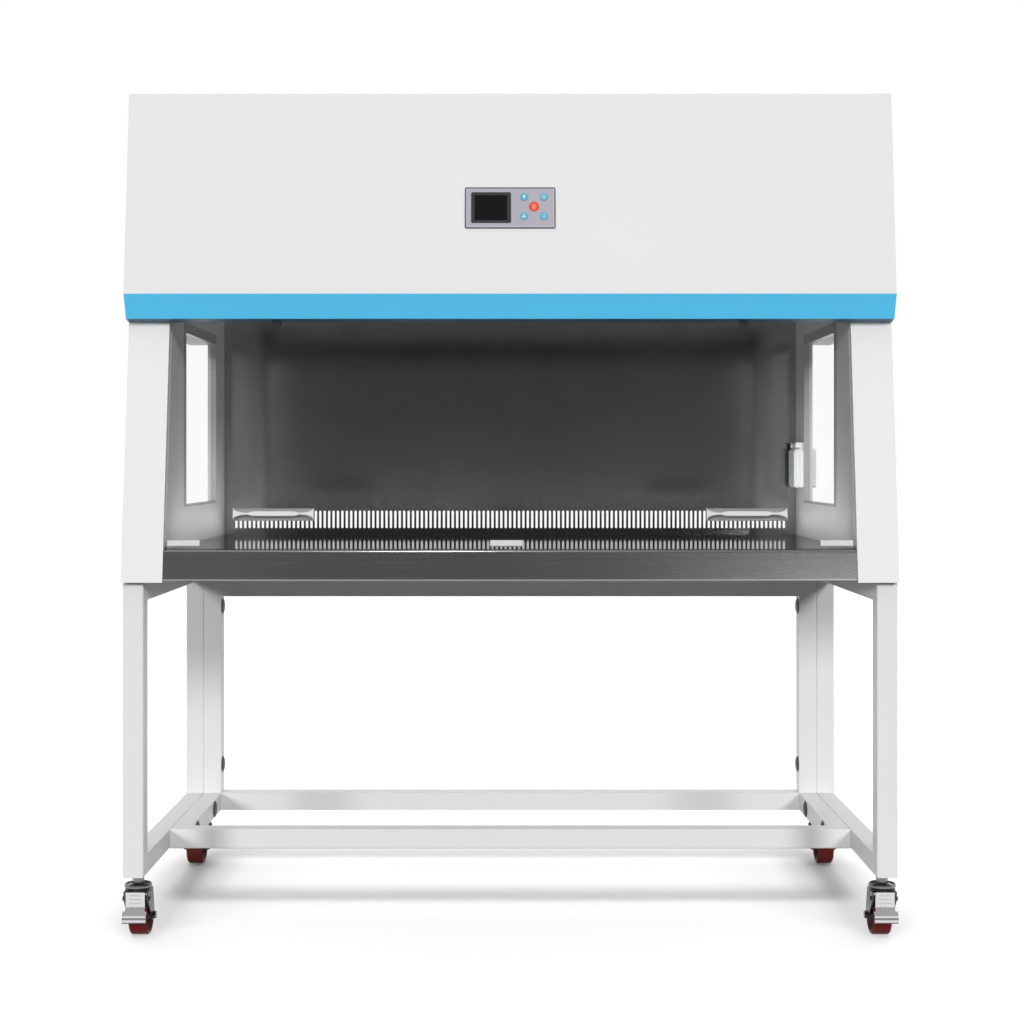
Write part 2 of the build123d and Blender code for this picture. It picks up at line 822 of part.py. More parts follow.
# Head casing: roof, back, two sides and the flanges under the overhang, open to the work area
inlet_x = half_width - inlet_inset
inlet_z = head_top_z - inlet_drop
with BuildPart() as head_shell:
    with BuildSketch(Plane.YZ):
        with BuildLine():
            Polyline(
                (nose_y, nose_z),
                (nose_lip_y, nose_lip_z),
                (nose_back_y, pillar_top_z),
                (cabinet_back_y, pillar_top_z),
                (cabinet_back_y, head_top_z),
                (head_front_top_y, head_top_z),
                close=True,
            )
        make_face()
    extrude(amount=half_width, both=True)
    cavity_depth = cabinet_back_y - sheet - nose_y + through
    cavity_height = head_top_z - pillar_top_z - 2 * sheet
    with BuildSketch(Plane.YZ):
        with Locations((cabinet_back_y - sheet - cavity_depth / 2, pillar_top_z + sheet)):
            Rectangle(cavity_depth, cavity_height, align=(Align.CENTER, Align.MIN))
    extrude(amount=half_width - sheet, both=True, mode=Mode.SUBTRACT)
    with BuildSketch(Plane.XY.offset(pillar_top_z)):
        with Locations((0, cabinet_back_y - sheet - cavity_depth / 2)):
            Rectangle(2 * (half_work + wall), cavity_depth)
    extrude(amount=sheet, mode=Mode.SUBTRACT)
    add(nose_trim.part, mode=Mode.SUBTRACT)
    add(head_front.part, mode=Mode.SUBTRACT)
    with BuildSketch(Plane.XY.offset(head_top_z - sheet)):
        with Locations((-blower_x, blower_y), (blower_x, blower_y)):
            with GridLocations(louvre_pitch, 0, louvre_count, 1):
                Rectangle(louvre_width, louvre_length)
    extrude(amount=sheet, mode=Mode.SUBTRACT)
    with BuildSketch(Plane.XZ.offset(-cabinet_back_y)):
        with Locations((inlet_x, inlet_z)):
            Rectangle(inlet_width, inlet_height)
    extrude(amount=sheet, mode=Mode.SUBTRACT)
save(head_shell.part, "head_shell")

# Prefilter pads under the roof louvres
prefilter_width = (louvre_count - 1) * louvre_pitch + louvre_width + 2 * prefilter_margin
with BuildPart() as prefilter_pads:
    with BuildSketch(Plane.XY.offset(head_top_z - sheet)):
        with Locations((-blower_x, blower_y), (blower_x, blower_y)):
            Rectangle(prefilter_width, louvre_length + 2 * prefilter_margin)
    extrude(amount=-prefilter_thickness)
save(prefilter_pads.part, "prefilter_pads")

# Ceiling diffuser, a slotted sheet that rests on the side panels and the rear wall
ceiling_depth = wall_front_y + sheet - baffle_y
ceiling_y = (wall_front_y + sheet + baffle_y) / 2
diffuser_pitch = ceiling_depth / (diffuser_rows + 0.5)
with BuildPart() as diffuser:
    with BuildSketch(Plane.XY.offset(ceiling_z)):
        with Locations((0, ceiling_y)):
            Rectangle(2 * (half_work + wall), ceiling_depth)
            with GridLocations(
                2 * filter_half_width / diffuser_columns,
                diffuser_pitch,
                diffuser_columns,
                diffuser_rows,
            ):
                Rectangle(
                    diffuser_slot_width, diffuser_pitch - diffuser_bar, mode=Mode.SUBTRACT
                )
    extrude(amount=sheet)
save(diffuser.part, "ceiling_diffuser")

# Fine filter: a rigid frame around a recessed pleated pack
filter_depth = ceiling_depth - 2 * filter_margin
with BuildPart() as fine_filter:
    with BuildSketch(Plane.XY.offset(filter_low_z)):
        with Locations((0, ceiling_y)):
            Rectangle(2 * filter_half_width, filter_depth)
    extrude(amount=filter_height)
    pack_width = 2 * (filter_half_width - filter_rim)
    for level in (filter_low_z, filter_low_z + filter_height - filter_recess):
        with BuildSketch(Plane.XY.offset(level)):
            with Locations((0, ceiling_y)):
                Rectangle(pack_width, filter_depth - 2 * filter_rim)
        extrude(amount=filter_recess, mode=Mode.SUBTRACT)
save(fine_filter.part, "hepa_filter")

# Plenum box over the filter, open below, with an outlet hole under each blower
outlet_y = blower_y - outlet_depth / 2
inner_outlet = (blower_width - 2 * sheet, outlet_depth - 2 * sheet)
with BuildPart() as plenum:
    with BuildSketch(Plane.XY.offset(plenum_low_z)):
        with Locations((0, ceiling_y)):
            Rectangle(2 * filter_half_width, filter_depth)
    extrude(amount=plenum_height)
    with BuildSketch(Plane.XY.offset(plenum_low_z)):
        with Locations((0, ceiling_y)):
            Rectangle(2 * (filter_half_width - sheet), filter_depth - 2 * sheet)
    extrude(amount=plenum_height - sheet, mode=Mode.SUBTRACT)
    with BuildSketch(Plane.XY.offset(deck_z)):
        with Locations((-blower_x, outlet_y), (blower_x, outlet_y)):
            Rectangle(*inner_outlet)
    extrude(amount=-sheet, mode=Mode.SUBTRACT)
save(plenum.part, "plenum_box")


def scroll_section(radius, duct_depth, low_z, high_z):
    """Side section of a blower: the scroll's circle with its straight outlet duct."""
    with BuildSketch() as section:
        with Locations((blower_y, high_z)):
            Circle(radius)
        with Locations((blower_y - radius + duct_depth / 2, (low_z + high_z) / 2)):
            Rectangle(duct_depth, high_z - low_z)
    return section.sketch


# Blower housings: scroll casings with an inlet on both sides and the outlet in the deck
scroll_outer = scroll_section(scroll_radius, outlet_depth, deck_z, scroll_z)
scroll_inner = scroll_section(
    scroll_radius - sheet, outlet_depth - 2 * sheet, deck_z - through, scroll_z
)
with BuildPart() as blower_housings:
    for x in (-blower_x, blower_x):
        with BuildSketch(Plane.YZ.offset(x)):
            add(scroll_outer)
        extrude(amount=blower_width / 2, both=True)
        with BuildSketch(Plane.YZ.offset(x)):
            add(scroll_inner)
        extrude(amount=blower_width / 2 - sheet, both=True, mode=Mode.SUBTRACT)
        with BuildSketch(Plane.YZ.offset(x)):
            with Locations((blower_y, scroll_z)):
                Circle(inlet_radius)
        extrude(amount=blower_width / 2, both=True, mode=Mode.SUBTRACT)
save(blower_housings.part, "blower_housings")

# Blower motors: a bracket across one inlet with the boss and shaft that carry the impeller
bracket_length = 2 * inlet_radius + 2 * bracket_width
with BuildPart() as blower_motors:
    for x in (-blower_x, blower_x):
        side_x = x - blower_width / 2
        with BuildSketch(Plane.YZ.offset(side_x)):
            with Locations((blower_y, scroll_z)):
                Rectangle(bracket_length, bracket_width)
        extrude(amount=-bracket_thickness)
        with BuildSketch(Plane.YZ.offset(side_x - bracket_thickness)):
            with Locations((blower_y, scroll_z)):
                Circle(motor_boss_radius)
        extrude(amount=x - rotor_width / 2 - seat_gap - side_x + bracket_thickness)
        with BuildSketch(Plane.YZ.offset(side_x)):
            with Locations((blower_y, scroll_z)):
                Circle(motor_shaft_radius)
        extrude(amount=blower_width / 2 + rotor_width / 4)
save(blower_motors.part, "blower_motors")

# Impellers: a drum of forward-turned blades between two rings, on a centre plate and rotor
with BuildPart() as impeller:
    with BuildSketch(Plane.YZ.offset(-impeller_width / 2)):
        with PolarLocations(impeller_radius - impeller_ring / 2 - blade_length / 8, blade_count):
            Rectangle(blade_length, blade_thickness, rotation=blade_turn)
    extrude(amount=impeller_width)
    for ring_x in (-impeller_width / 2, impeller_width / 2 - impeller_plate):
        with BuildSketch(Plane.YZ.offset(ring_x)):
            Circle(impeller_radius)
            Circle(impeller_radius - impeller_ring, mode=Mode.SUBTRACT)
        extrude(amount=impeller_plate)
    with BuildSketch(Plane.YZ):
        Circle(impeller_radius - impeller_ring / 2)
    extrude(amount=impeller_plate / 2, both=True)
    with BuildSketch(Plane.YZ):
        Circle(rotor_radius)
    extrude(amount=rotor_width / 2, both=True)
    with BuildSketch(Plane.YZ.offset(-rotor_width / 2)):
        Circle(motor_shaft_radius + running_gap)
    extrude(amount=rotor_width * 0.75 + seat_gap, mode=Mode.SUBTRACT)
for side, x in (("left", -blower_x), ("right", blower_x)):
    save(Location((x, blower_y, scroll_z)) * impeller.part, f"impeller_{side}")

# Lamp tubes under the ceiling, white light in front and UV behind it, and their end holders
lamp_z = ceiling_z - lamp_drop
lamp_ys = [baffle_y + setback for setback in lamp_setbacks]
lamp_half_lengths = [half_work - holder_thickness - gap for gap in lamp_end_gaps]
with BuildPart() as lamp_tubes:
    for y, half_length in zip(lamp_ys, lamp_half_lengths):
        with BuildSketch(Plane.YZ):
            with Locations((y, lamp_z)):
                Circle(lamp_radius)
        extrude(amount=half_length, both=True)
save(lamp_tubes.part, "lamp_tubes")

holder_height = lamp_drop + holder_grip
with BuildPart() as lamp_holders:
    for y, half_length in zip(lamp_ys, lamp_half_lengths):
        for side in (-1, 1):
            start_x = side * half_length
            with BuildSketch(Plane.YZ.offset(start_x)):
                with Locations((y, ceiling_z)):
                    Rectangle(holder_width, holder_height, align=(Align.CENTER, Align.MAX))
            extrude(amount=side * holder_thickness)
save(lamp_holders.part, "lamp_holders")

# Sash: the pane, its two pull handles and the three pads along its foot
sash_low_z = worktop_z + sash_rest_gap
sash_length = (pillar_top_z + sash_overlap - sash_low_z) / cos(lean)
handle_z = worktop_z + handle_rise
pad_z = worktop_z + pad_rise
pad_xs = (pad_inset - half_work, pad_offset, half_work - pad_inset)
glass_width = 2 * (half_work + glass_bite)
with BuildPart() as sash_glass:
    with BuildSketch(lean_plane(sash_low_z, glass_front)):
        with Locations((0, sash_length / 2)):
            Rectangle(glass_width, sash_length)
    extrude(amount=-glass_thickness)
save(sash_glass.part, "sash_glass")

half_handle = handle_length / 2
half_bar = handle_bar_length / 2
neck_x = half_handle - handle_flare
grip_depth = finger_gap + handle_bar_depth
with BuildPart() as sash_handles:
    for x in (-handle_x, handle_x):
        seat = lean_plane(handle_z, glass_front, x)
        with BuildSketch(seat):
            Rectangle(handle_length, handle_height)
        extrude(amount=handle_plate)
        with BuildSketch(seat.offset(handle_plate)):
            with BuildLine():
                Polyline(
                    (-half_handle, -handle_height / 2),
                    (-neck_x, -handle_neck / 2),
                    (-half_bar, -handle_bar_height / 2),
                    (half_bar, -handle_bar_height / 2),
                    (neck_x, -handle_neck / 2),
                    (half_handle, -handle_height / 2),
                    (half_handle, handle_height / 2),
                    (neck_x, handle_neck / 2),
                    (half_bar, handle_bar_height / 2),
                    (-half_bar, handle_bar_height / 2),
                    (-neck_x, handle_neck / 2),
                    (-half_handle, handle_height / 2),
                    close=True,
                )
            make_face()
        extrude(amount=grip_depth)
        with BuildSketch(seat.offset(handle_plate)):
            Rectangle(handle_bar_length, handle_height)
        extrude(amount=finger_gap, mode=Mode.SUBTRACT)
save(sash_handles.part, "sash_handles")

with BuildPart() as sash_pads:
    with BuildSketch(lean_plane(pad_z, glass_front)):
        with Locations(*[(x, 0) for x in pad_xs]):
            Rectangle(pad_width, pad_height)
    extrude(amount=pad_depth)
    chamfer(sash_pads.faces().sort_by(Axis.Y)[:3].edges(), sheet)
save(sash_pads.part, "sash_pads")

# Control plate on the head front, with the display's opening and five button holes
display_x = (display_width - panel_width) / 2 + panel_left_margin
button_x = panel_width / 2 - panel_right_margin - half_cluster
button_radii = {
    "light_button": (-1, 1, blue_button_radius),
    "uv_button": (1, 1, blue_button_radius),
    "power_button": (0, 0, power_button_radius),
    "fan_button": (-1, -1, blue_button_radius),
    "socket_button": (1, -1, blue_button_radius),
}
plate_seat = head_plane(panel_z)
body_width = display_width - 2 * display_lap
body_height = display_height - 2 * display_lap
with BuildPart() as control_plate:
    with BuildSketch(plate_seat):
        RectangleRounded(panel_width, panel_height, panel_corner)
        with Locations((display_x, 0)):
            Rectangle(body_width + 2 * running_gap, body_height + 2 * running_gap,
                      mode=Mode.SUBTRACT)
        for column, row, radius in button_radii.values():
            with Locations((button_x + column * button_spread, button_y + row * button_spread)):
                Circle(radius + seat_gap, mode=Mode.SUBTRACT)
    extrude(amount=panel_thickness)
save(control_plate.part, "control_plate")

# Display: its body through the plate, a raised rim and the recessed screen
with BuildPart() as display:
    with BuildSketch(plate_seat.offset(-display_depth)):
        with Locations((display_x, 0)):
            Rectangle(body_width, body_height)
    extrude(amount=display_depth + panel_thickness)
    with BuildSketch(plate_seat.offset(panel_thickness)):
        with Locations((display_x, 0)):
            RectangleRounded(display_width, display_height, panel_corner)
    extrude(amount=display_rim)
    with BuildSketch(plate_seat.offset(panel_thickness + display_rim)):
        with Locations((display_x + screen_offset, 0)):
            Rectangle(display_width - 2.5 * screen_border, display_height - 2 * screen_border)
    extrude(amount=-screen_recess, mode=Mode.SUBTRACT)
save(display.part, "display")

# Control board behind the plate, on four posts
board_width = panel_width - 2 * (panel_lap + board_margin)
board_height = panel_height - 2 * (panel_lap + board_margin)
with BuildPart() as control_board:
    with BuildSketch(plate_seat.offset(-display_depth)):
        Rectangle(board_width, board_height)
    extrude(amount=-board_thickness)
    with BuildSketch(plate_seat.offset(-display_depth)):
        with GridLocations(board_width - 2 * post_inset, board_height - 2 * post_inset, 2, 2):
            Circle(post_radius)
    extrude(amount=display_depth)
save(control_board.part, "control_board")

# Buttons: a cap through the plate, a flange behind it and a stalk that reaches the board
stalk_length = display_depth - button_travel - 2 * seat_gap
for name, (column, row, radius) in button_radii.items():
    spot = (button_x + column * button_spread, button_y + row * button_spread)
    with BuildPart() as button:
        with BuildSketch(plate_seat.offset(-seat_gap)):
            with Locations(spot):
                Circle(radius)
        extrude(amount=seat_gap + panel_thickness + button_proud)
        with BuildSketch(plate_seat.offset(-seat_gap)):
            with Locations(spot):
                Circle(radius + button_flange)
        extrude(amount=-button_flange_height)
        with BuildSketch(plate_seat):
            with Locations(spot):
                Circle(button_stalk_radius)
        extrude(amount=-stalk_length)
    save(button.part, name)

# Socket plate on the right inner wall, with the round well and the two hinge lugs
socket_z = worktop_z + socket_rise
flap_low_z = socket_z - flap_below
flap_high_z = socket_z + flap_above
hinge_z = flap_high_z + hinge_rise
hinge_x = half_work - socket_thickness - hinge_knuckle_radius - seat_gap
lug_y = hinge_knuckle_length / 2 + seat_gap
lug_foot_z = socket_z + socket_size / 2
lug_x = hinge_x - hinge_knuckle_radius
lug_step_z = flap_high_z + hinge_lug_gap
with BuildPart() as socket_plate:
    with BuildSketch(Plane.YZ.offset(half_work)):
        with Locations((socket_y, socket_z)):
            RectangleRounded(socket_size, socket_size, socket_corner)
    extrude(amount=-socket_thickness)
    with BuildSketch(Plane.YZ.offset(half_work - socket_thickness)):
        with Locations((socket_y, socket_z)):
            Circle(socket_well_radius)
    extrude(amount=socket_well_depth, mode=Mode.SUBTRACT)
    for side in (-1, 1):
        lug_start = side * lug_y if side > 0 else side * lug_y - hinge_lug_length
        with BuildSketch(Plane.XZ.offset(-socket_y - lug_start)):
            with BuildLine():
                Polyline(
                    (half_work, lug_foot_z - hinge_lug_length),
                    (half_work, hinge_z + hinge_knuckle_radius),
                    (lug_x, hinge_z + hinge_knuckle_radius),
                    (lug_x, lug_step_z),
                    (half_work - socket_thickness, lug_step_z),
                    (half_work - socket_thickness, lug_foot_z - hinge_lug_length),
                    close=True,
                )
            make_face()
            with Locations((hinge_x, hinge_z)):
                Circle(hinge_pin_radius + running_gap, mode=Mode.SUBTRACT)
        extrude(amount=-hinge_lug_length)
save(socket_plate.part, "socket_plate")

# Splash flap: a shallow domed cover, its knuckle and the pin that turns in the lugs
flap_x = half_work - socket_thickness - seat_gap
flap_height = flap_high_z - flap_low_z
flap_z = (flap_high_z + flap_low_z) / 2
pin_length = hinge_knuckle_length + 2 * hinge_lug_length
with BuildPart() as socket_flap:
    with BuildSketch(Plane.YZ.offset(flap_x)):
        with Locations((socket_y, flap_z)):
            RectangleRounded(flap_width, flap_height, flap_corner)
    extrude(amount=-flap_depth)
    chamfer(socket_flap.faces().sort_by(Axis.X)[0].edges(), flap_edge)
    with BuildSketch(Plane.YZ.offset(flap_x)):
        with Locations((socket_y, flap_z)):
            Rectangle(flap_width - 2 * flap_edge, flap_height - 2 * flap_edge)
    extrude(amount=flap_wall - flap_depth, mode=Mode.SUBTRACT)
    with BuildSketch(Plane.XZ.offset(hinge_knuckle_length / 2 - socket_y)):
        with Locations((hinge_x, hinge_z)):
            Circle(hinge_knuckle_radius)
        with Locations((hinge_x, hinge_z)):
            Rectangle(
                hinge_knuckle_radius, hinge_z - flap_high_z + flap_wall,
                align=(Align.CENTER, Align.MAX),
            )
    extrude(amount=-hinge_knuckle_length)
    with BuildSketch(Plane.XZ.offset(pin_length / 2 - socket_y)):
        with Locations((hinge_x, hinge_z)):
            Circle(hinge_pin_radius)
    extrude(amount=-pin_length)
save(socket_flap.part, "socket_flap")

# Power inlet through the back of the head
with BuildPart() as power_inlet:
    with BuildSketch(Plane.XZ.offset(-cabinet_back_y)):
        with Locations((inlet_x, inlet_z)):
            RectangleRounded(
                inlet_width + 2 * inlet_flange, inlet_height + 2 * inlet_flange, socket_corner
            )
    extrude(amount=-inlet_flange_thickness)
    with BuildSketch(Plane.XZ.offset(-cabinet_back_y)):
        with Locations((inlet_x, inlet_z)):
            Rectangle(inlet_width - 2 * running_gap, inlet_height - 2 * running_gap)
    extrude(amount=inlet_depth)
    with BuildSketch(Plane.XZ.offset(-cabinet_back_y - inlet_flange_thickness)):
        with Locations((inlet_x, inlet_z)):
            Rectangle(inlet_recess_width, inlet_recess_height)
    extrude(amount=inlet_recess_depth, mode=Mode.SUBTRACT)
save(power_inlet.part, "power_inlet")
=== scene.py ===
"""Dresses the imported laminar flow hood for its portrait.

The hood stands on a plain white floor, seen from the front at sitting eye height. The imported
CAD model gives every place; this script adds the finishes, the pieces too fine for the solids,
the camera and the studio light.
"""

import json
import logging
import math
from collections.abc import Callable, Mapping, Sequence
from dataclasses import dataclass, field
from enum import Enum

import bpy
import numpy as np
from mathutils import Euler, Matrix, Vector

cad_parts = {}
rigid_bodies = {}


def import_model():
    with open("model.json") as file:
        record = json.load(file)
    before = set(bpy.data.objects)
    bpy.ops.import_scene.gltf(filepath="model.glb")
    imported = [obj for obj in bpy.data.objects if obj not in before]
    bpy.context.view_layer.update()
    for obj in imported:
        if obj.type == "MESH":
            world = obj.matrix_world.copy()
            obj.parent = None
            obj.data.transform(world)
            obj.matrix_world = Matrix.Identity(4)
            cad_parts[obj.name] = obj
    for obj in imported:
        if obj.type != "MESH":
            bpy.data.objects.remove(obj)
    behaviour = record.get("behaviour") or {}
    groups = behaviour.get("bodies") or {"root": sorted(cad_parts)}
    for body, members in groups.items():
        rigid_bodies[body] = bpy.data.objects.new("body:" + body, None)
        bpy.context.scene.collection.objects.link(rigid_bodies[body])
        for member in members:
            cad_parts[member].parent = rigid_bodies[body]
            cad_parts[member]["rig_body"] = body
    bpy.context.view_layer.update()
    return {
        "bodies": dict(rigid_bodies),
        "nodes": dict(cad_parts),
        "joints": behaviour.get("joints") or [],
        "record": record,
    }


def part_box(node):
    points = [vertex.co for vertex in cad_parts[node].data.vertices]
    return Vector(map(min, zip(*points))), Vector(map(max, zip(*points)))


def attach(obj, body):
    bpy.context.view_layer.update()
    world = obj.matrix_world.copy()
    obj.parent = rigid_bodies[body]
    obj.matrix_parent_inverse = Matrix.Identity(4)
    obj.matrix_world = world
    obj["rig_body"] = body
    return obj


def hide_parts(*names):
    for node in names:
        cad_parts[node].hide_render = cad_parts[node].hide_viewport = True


LOG = logging.getLogger("hood")
MM = 0.001
TURN = 2 * math.pi
ACROSS = np.array([1.0, 0.0, 0.0])
Colour = tuple[float, float, float]
Point = tuple[float, float, float]
Shape = tuple[np.ndarray, Sequence[Sequence[int]]]


class Body(Enum):
    """The moving bodies that new pieces ride on."""

    CABINET = "cabinet"
    SASH = "sash"


class Grain(Enum):
    """Which way a sheet was brushed, as the stretch of its noise per metre along X, Y and Z."""

    LEVEL = (2.5, 2.5, 1100.0)
    ACROSS = (2.5, 1100.0, 1100.0)
    UPRIGHT = (900.0, 900.0, 4.0)


# shader maths


def operator(kind: str, reflected: bool = False) -> Callable[["Wire", object], "Wire"]:
    """Make an operator that adds one Math node.

    Args:
        kind: The Math node's operation.
        reflected: Whether the wire is the second term.

    Returns:
        The operator.
    """

    def apply(wire: "Wire", term: object) -> "Wire":
        """Join the two terms."""
        return wire.math(kind, *((term, wire) if reflected else (wire, term)))

    return apply


class Wire:
    """One output socket of a node, with arithmetic that adds Math nodes."""

    __add__, __radd__ = operator("ADD"), operator("ADD", True)
    __sub__, __rsub__ = operator("SUBTRACT"), operator("SUBTRACT", True)
    __mul__, __rmul__ = operator("MULTIPLY"), operator("MULTIPLY", True)
    least, most = operator("MINIMUM"), operator("MAXIMUM")

    def __init__(self, bench: "Bench", socket: bpy.types.NodeSocket) -> None:
        """Keep the bench that makes nodes and the socket itself."""
        self.bench = bench
        self.socket = socket

    def math(self, operation: str, *terms: object) -> "Wire":
        """Run one Math operation on the given terms, numbers or wires."""
        return self.bench.node("ShaderNodeMath", {"operation": operation}, dict(enumerate(terms)))

    def other(self, output: str | int) -> "Wire":
        """Another output of the same node."""
        return Wire(self.bench, self.socket.node.outputs[output])

    def __abs__(self) -> "Wire":
        """Size without sign."""
        return self.math("ABSOLUTE", self)

    def sine(self) -> "Wire":
        """Sine, in radians."""
        return self.math("SINE", self)

    def clamp(self) -> "Wire":
        """Held between nought and one."""
        return self.most(0.0).least(1.0)

    def ramp(self, low: float, high: float) -> "Wire":
        """Rises from nought at low to one at high, in a straight line.

        Args:
            low: Where the ramp starts.
            high: Where it reaches one.

        Returns:
            The ramped value.
        """
        return ((self - low) * (1.0 / (high - low))).clamp()

    def band(self, centre: float, half: float, soft: float) -> "Wire":
        """One within half of a centre, falling to nought over soft.

        Args:
            centre: Middle of the band.
            half: Half the band's width.
            soft: Width of each soft edge.

        Returns:
            The band's mask.
        """
        return 1.0 - (abs(self - centre) - half).ramp(0.0, soft)


class Bench:
    """A node tree on which a finish is put together."""

    def __init__(self, tree: bpy.types.NodeTree) -> None:
        """Start from an empty tree."""
        tree.nodes.clear()
        self.tree = tree

    def node(
        self,
        kind: str,
        settings: Mapping[str, object] | None = None,
        inputs: Mapping[object, object] | None = None,
        output: str | int = 0,
    ) -> Wire:
        """Make a node from its type, its settings and its sockets' values or links.

        Args:
            kind: The node's type name.
            settings: Attributes set first; "stops" fills a colour ramp.
            inputs: Socket name or number against a number, a colour or a wire.
            output: Which output to hand back.

        Returns:
            The chosen output.
        """
        made = self.tree.nodes.new(kind)
        for key, value in (settings or {}).items():
            if key == "stops":
                ramp = made.color_ramp.elements
                while len(ramp) < len(value):
                    ramp.new(1.0)
                for stop, (place, colour) in zip(ramp, value):
                    stop.position = place
                    stop.color = (*colour, 1.0)
            else:
                setattr(made, key, value)
        for key, value in (inputs or {}).items():
            socket = made.inputs[key]
            if isinstance(value, Wire):
                self.tree.links.new(value.socket, socket)
            elif isinstance(value, tuple) and socket.type == "RGBA":
                socket.default_value = (*value, 1.0)
            else:
                socket.default_value = value
        return Wire(self, made.outputs[output])

    def parts(self, vector: Wire) -> tuple[Wire, Wire, Wire]:
        """A vector's X, Y and Z."""
        split = self.node("ShaderNodeSeparateXYZ", inputs={0: vector})
        return split, split.other(1), split.other(2)

    def place(self) -> Wire:
        """Object coordinates, which are the row frame in metres."""
        return self.node("ShaderNodeTexCoord", output="Object")

    def facing(self) -> tuple[Wire, Wire, Wire]:
        """The way a surface faces, as three numbers."""
        return self.parts(self.node("ShaderNodeNewGeometry", output="Normal"))

    def stretch(self, scale: float | Point, shift: Point = (0.0, 0.0, 0.0)) -> Wire:
        """Object coordinates shifted, then scaled along each axis."""
        moved = self.node(
            "ShaderNodeVectorMath", {"operation": "ADD"}, {0: self.place(), 1: shift}
        )
        scale = scale if isinstance(scale, tuple) else (scale, scale, scale)
        return self.node("ShaderNodeVectorMath", {"operation": "MULTIPLY"}, {0: moved, 1: scale})

    def noise(
        self,
        scale: float | Point,
        detail: float = 2.0,
        roughness: float = 0.5,
        shift: Point = (0.0, 0.0, 0.0),
    ) -> Wire:
        """Noise from nought to one.

        Args:
            scale: Cells per metre, or one figure for each axis.
            detail: Octaves added.
            roughness: Weight of the finer octaves.
            shift: Offset of the pattern.

        Returns:
            The noise value.
        """
        return self.node(
            "ShaderNodeTexNoise",
            inputs={
                "Vector": self.stretch(scale, shift),
                "Scale": 1.0,
                "Detail": detail,
                "Roughness": roughness,
            },
        )

    def cells(self, scale: float | Point, feature: str = "F1", output: str = "Distance") -> Wire:
        """Voronoi cells, by distance or by cell colour."""
        return self.node(
            "ShaderNodeTexVoronoi",
            {"feature": feature},
            {"Vector": self.stretch(scale), "Scale": 1.0},
            output,
        )

    def mix(self, low: object, high: object, factor: object) -> Wire:
        """Blend two colours.

        Args:
            low: Colour at factor nought, a tuple or a wire.
            high: Colour at factor one.
            factor: The share of the second.

        Returns:
            The blended colour.
        """
        return self.node("ShaderNodeMix", {"data_type": "RGBA"}, {0: factor, 6: low, 7: high}, 2)

    def tone(self, colour: Colour, low: float, high: float, factor: Wire) -> Wire:
        """Blend two shades of one colour.

        Args:
            colour: The colour.
            low: What it is multiplied by at factor nought.
            high: What it is multiplied by at factor one.
            factor: The share of the second shade.

        Returns:
            The blended shade.
        """
        return self.mix(shade_of(colour, low), shade_of(colour, high), factor)

    def bump(self, height: Wire, distance: float, strength: float = 1.0) -> Wire:
        """A normal bent by a height."""
        return self.node(
            "ShaderNodeBump", inputs={"Height": height, "Distance": distance, "Strength": strength}
        )

    def principled(self, **values: object) -> Wire:
        """A Principled shader, its sockets named with underscores for spaces."""
        return self.node(
            "ShaderNodeBsdfPrincipled",
            inputs={key.replace("_", " "): value for key, value in values.items()},
        )

    def close(self, shader: Wire, kind: str = "ShaderNodeOutputMaterial") -> None:
        """Join a shader to the tree's output."""
        made = self.tree.nodes.new(kind)
        self.tree.links.new(shader.socket, made.inputs[0])


def shade_of(colour: Colour, factor: float) -> Colour:
    """A colour made lighter or darker by a factor."""
    return tuple(min(1.0, part * factor) for part in colour)


def grey(level: float) -> Colour:
    """A grey of the given linear level."""
    return level, level, level


def srgb(red: int, green: int, blue: int) -> Colour:
    """A screen colour, 0 to 255, as the linear colour a shader takes."""
    parts = []
    for part in (red, green, blue):
        share = part / 255.0
        parts.append(share / 12.92 if share <= 0.04045 else ((share + 0.055) / 1.055) ** 2.4)
    return tuple(parts)


# finishes


@dataclass(frozen=True)
class Finish:
    """What every finish has: its name and the material made from it."""

    name: str

    def shader(self, bench: Bench) -> Wire:
        """Put the finish's nodes on a bench and hand back its shader."""
        raise NotImplementedError

    def material(self) -> bpy.types.Material:
        """The finish as a material, made on first use."""
        title = "finish_" + self.name
        known = bpy.data.materials.get(title)
        if known is None:
            known = bpy.data.materials.new(title)
            known.use_nodes = True
            bench = Bench(known.node_tree)
            bench.close(self.shader(bench))
        return known


@dataclass(frozen=True)
class PowderCoat(Finish):
    """Baked powder paint: a fine orange peel, faint clouding and a soft gloss.

    A second colour, painted shade, may be given for what faces down; what faces back is then dark.
    """

    colour: Colour = (0.8, 0.8, 0.8)
    roughness: float = 0.42
    peel: float = 700.0
    depth: float = 0.00006
    under: Colour | None = None
    back_colour: Colour = (0.05, 0.055, 0.06)

    def shader(self, bench: Bench) -> Wire:
        """Cloud the colour by 2 percent, dimple it, paint shade below and darken what faces back.
        """
        cloud = bench.noise(4.0, 3.0)
        grit = bench.noise(self.peel, 2.0, 0.6)
        colour = bench.tone(self.colour, 0.975, 1.02, cloud)
        if self.under is not None:
            _, back, up = bench.facing()
            # painted shade: the given colour on what faces down stands in for the shade under the
            # part
            colour = bench.mix(colour, self.under, (up * -1.0).ramp(0.5, 0.8))
            colour = bench.mix(colour, self.back_colour, back.ramp(0.5, 0.8))
        return bench.principled(
            Base_Color=colour,
            Roughness=self.roughness + 0.10 * (bench.noise(60.0, 2.0) - 0.5),
            Normal=bench.bump(grit, self.depth, 0.6),
            Specular_IOR_Level=0.45,
        )


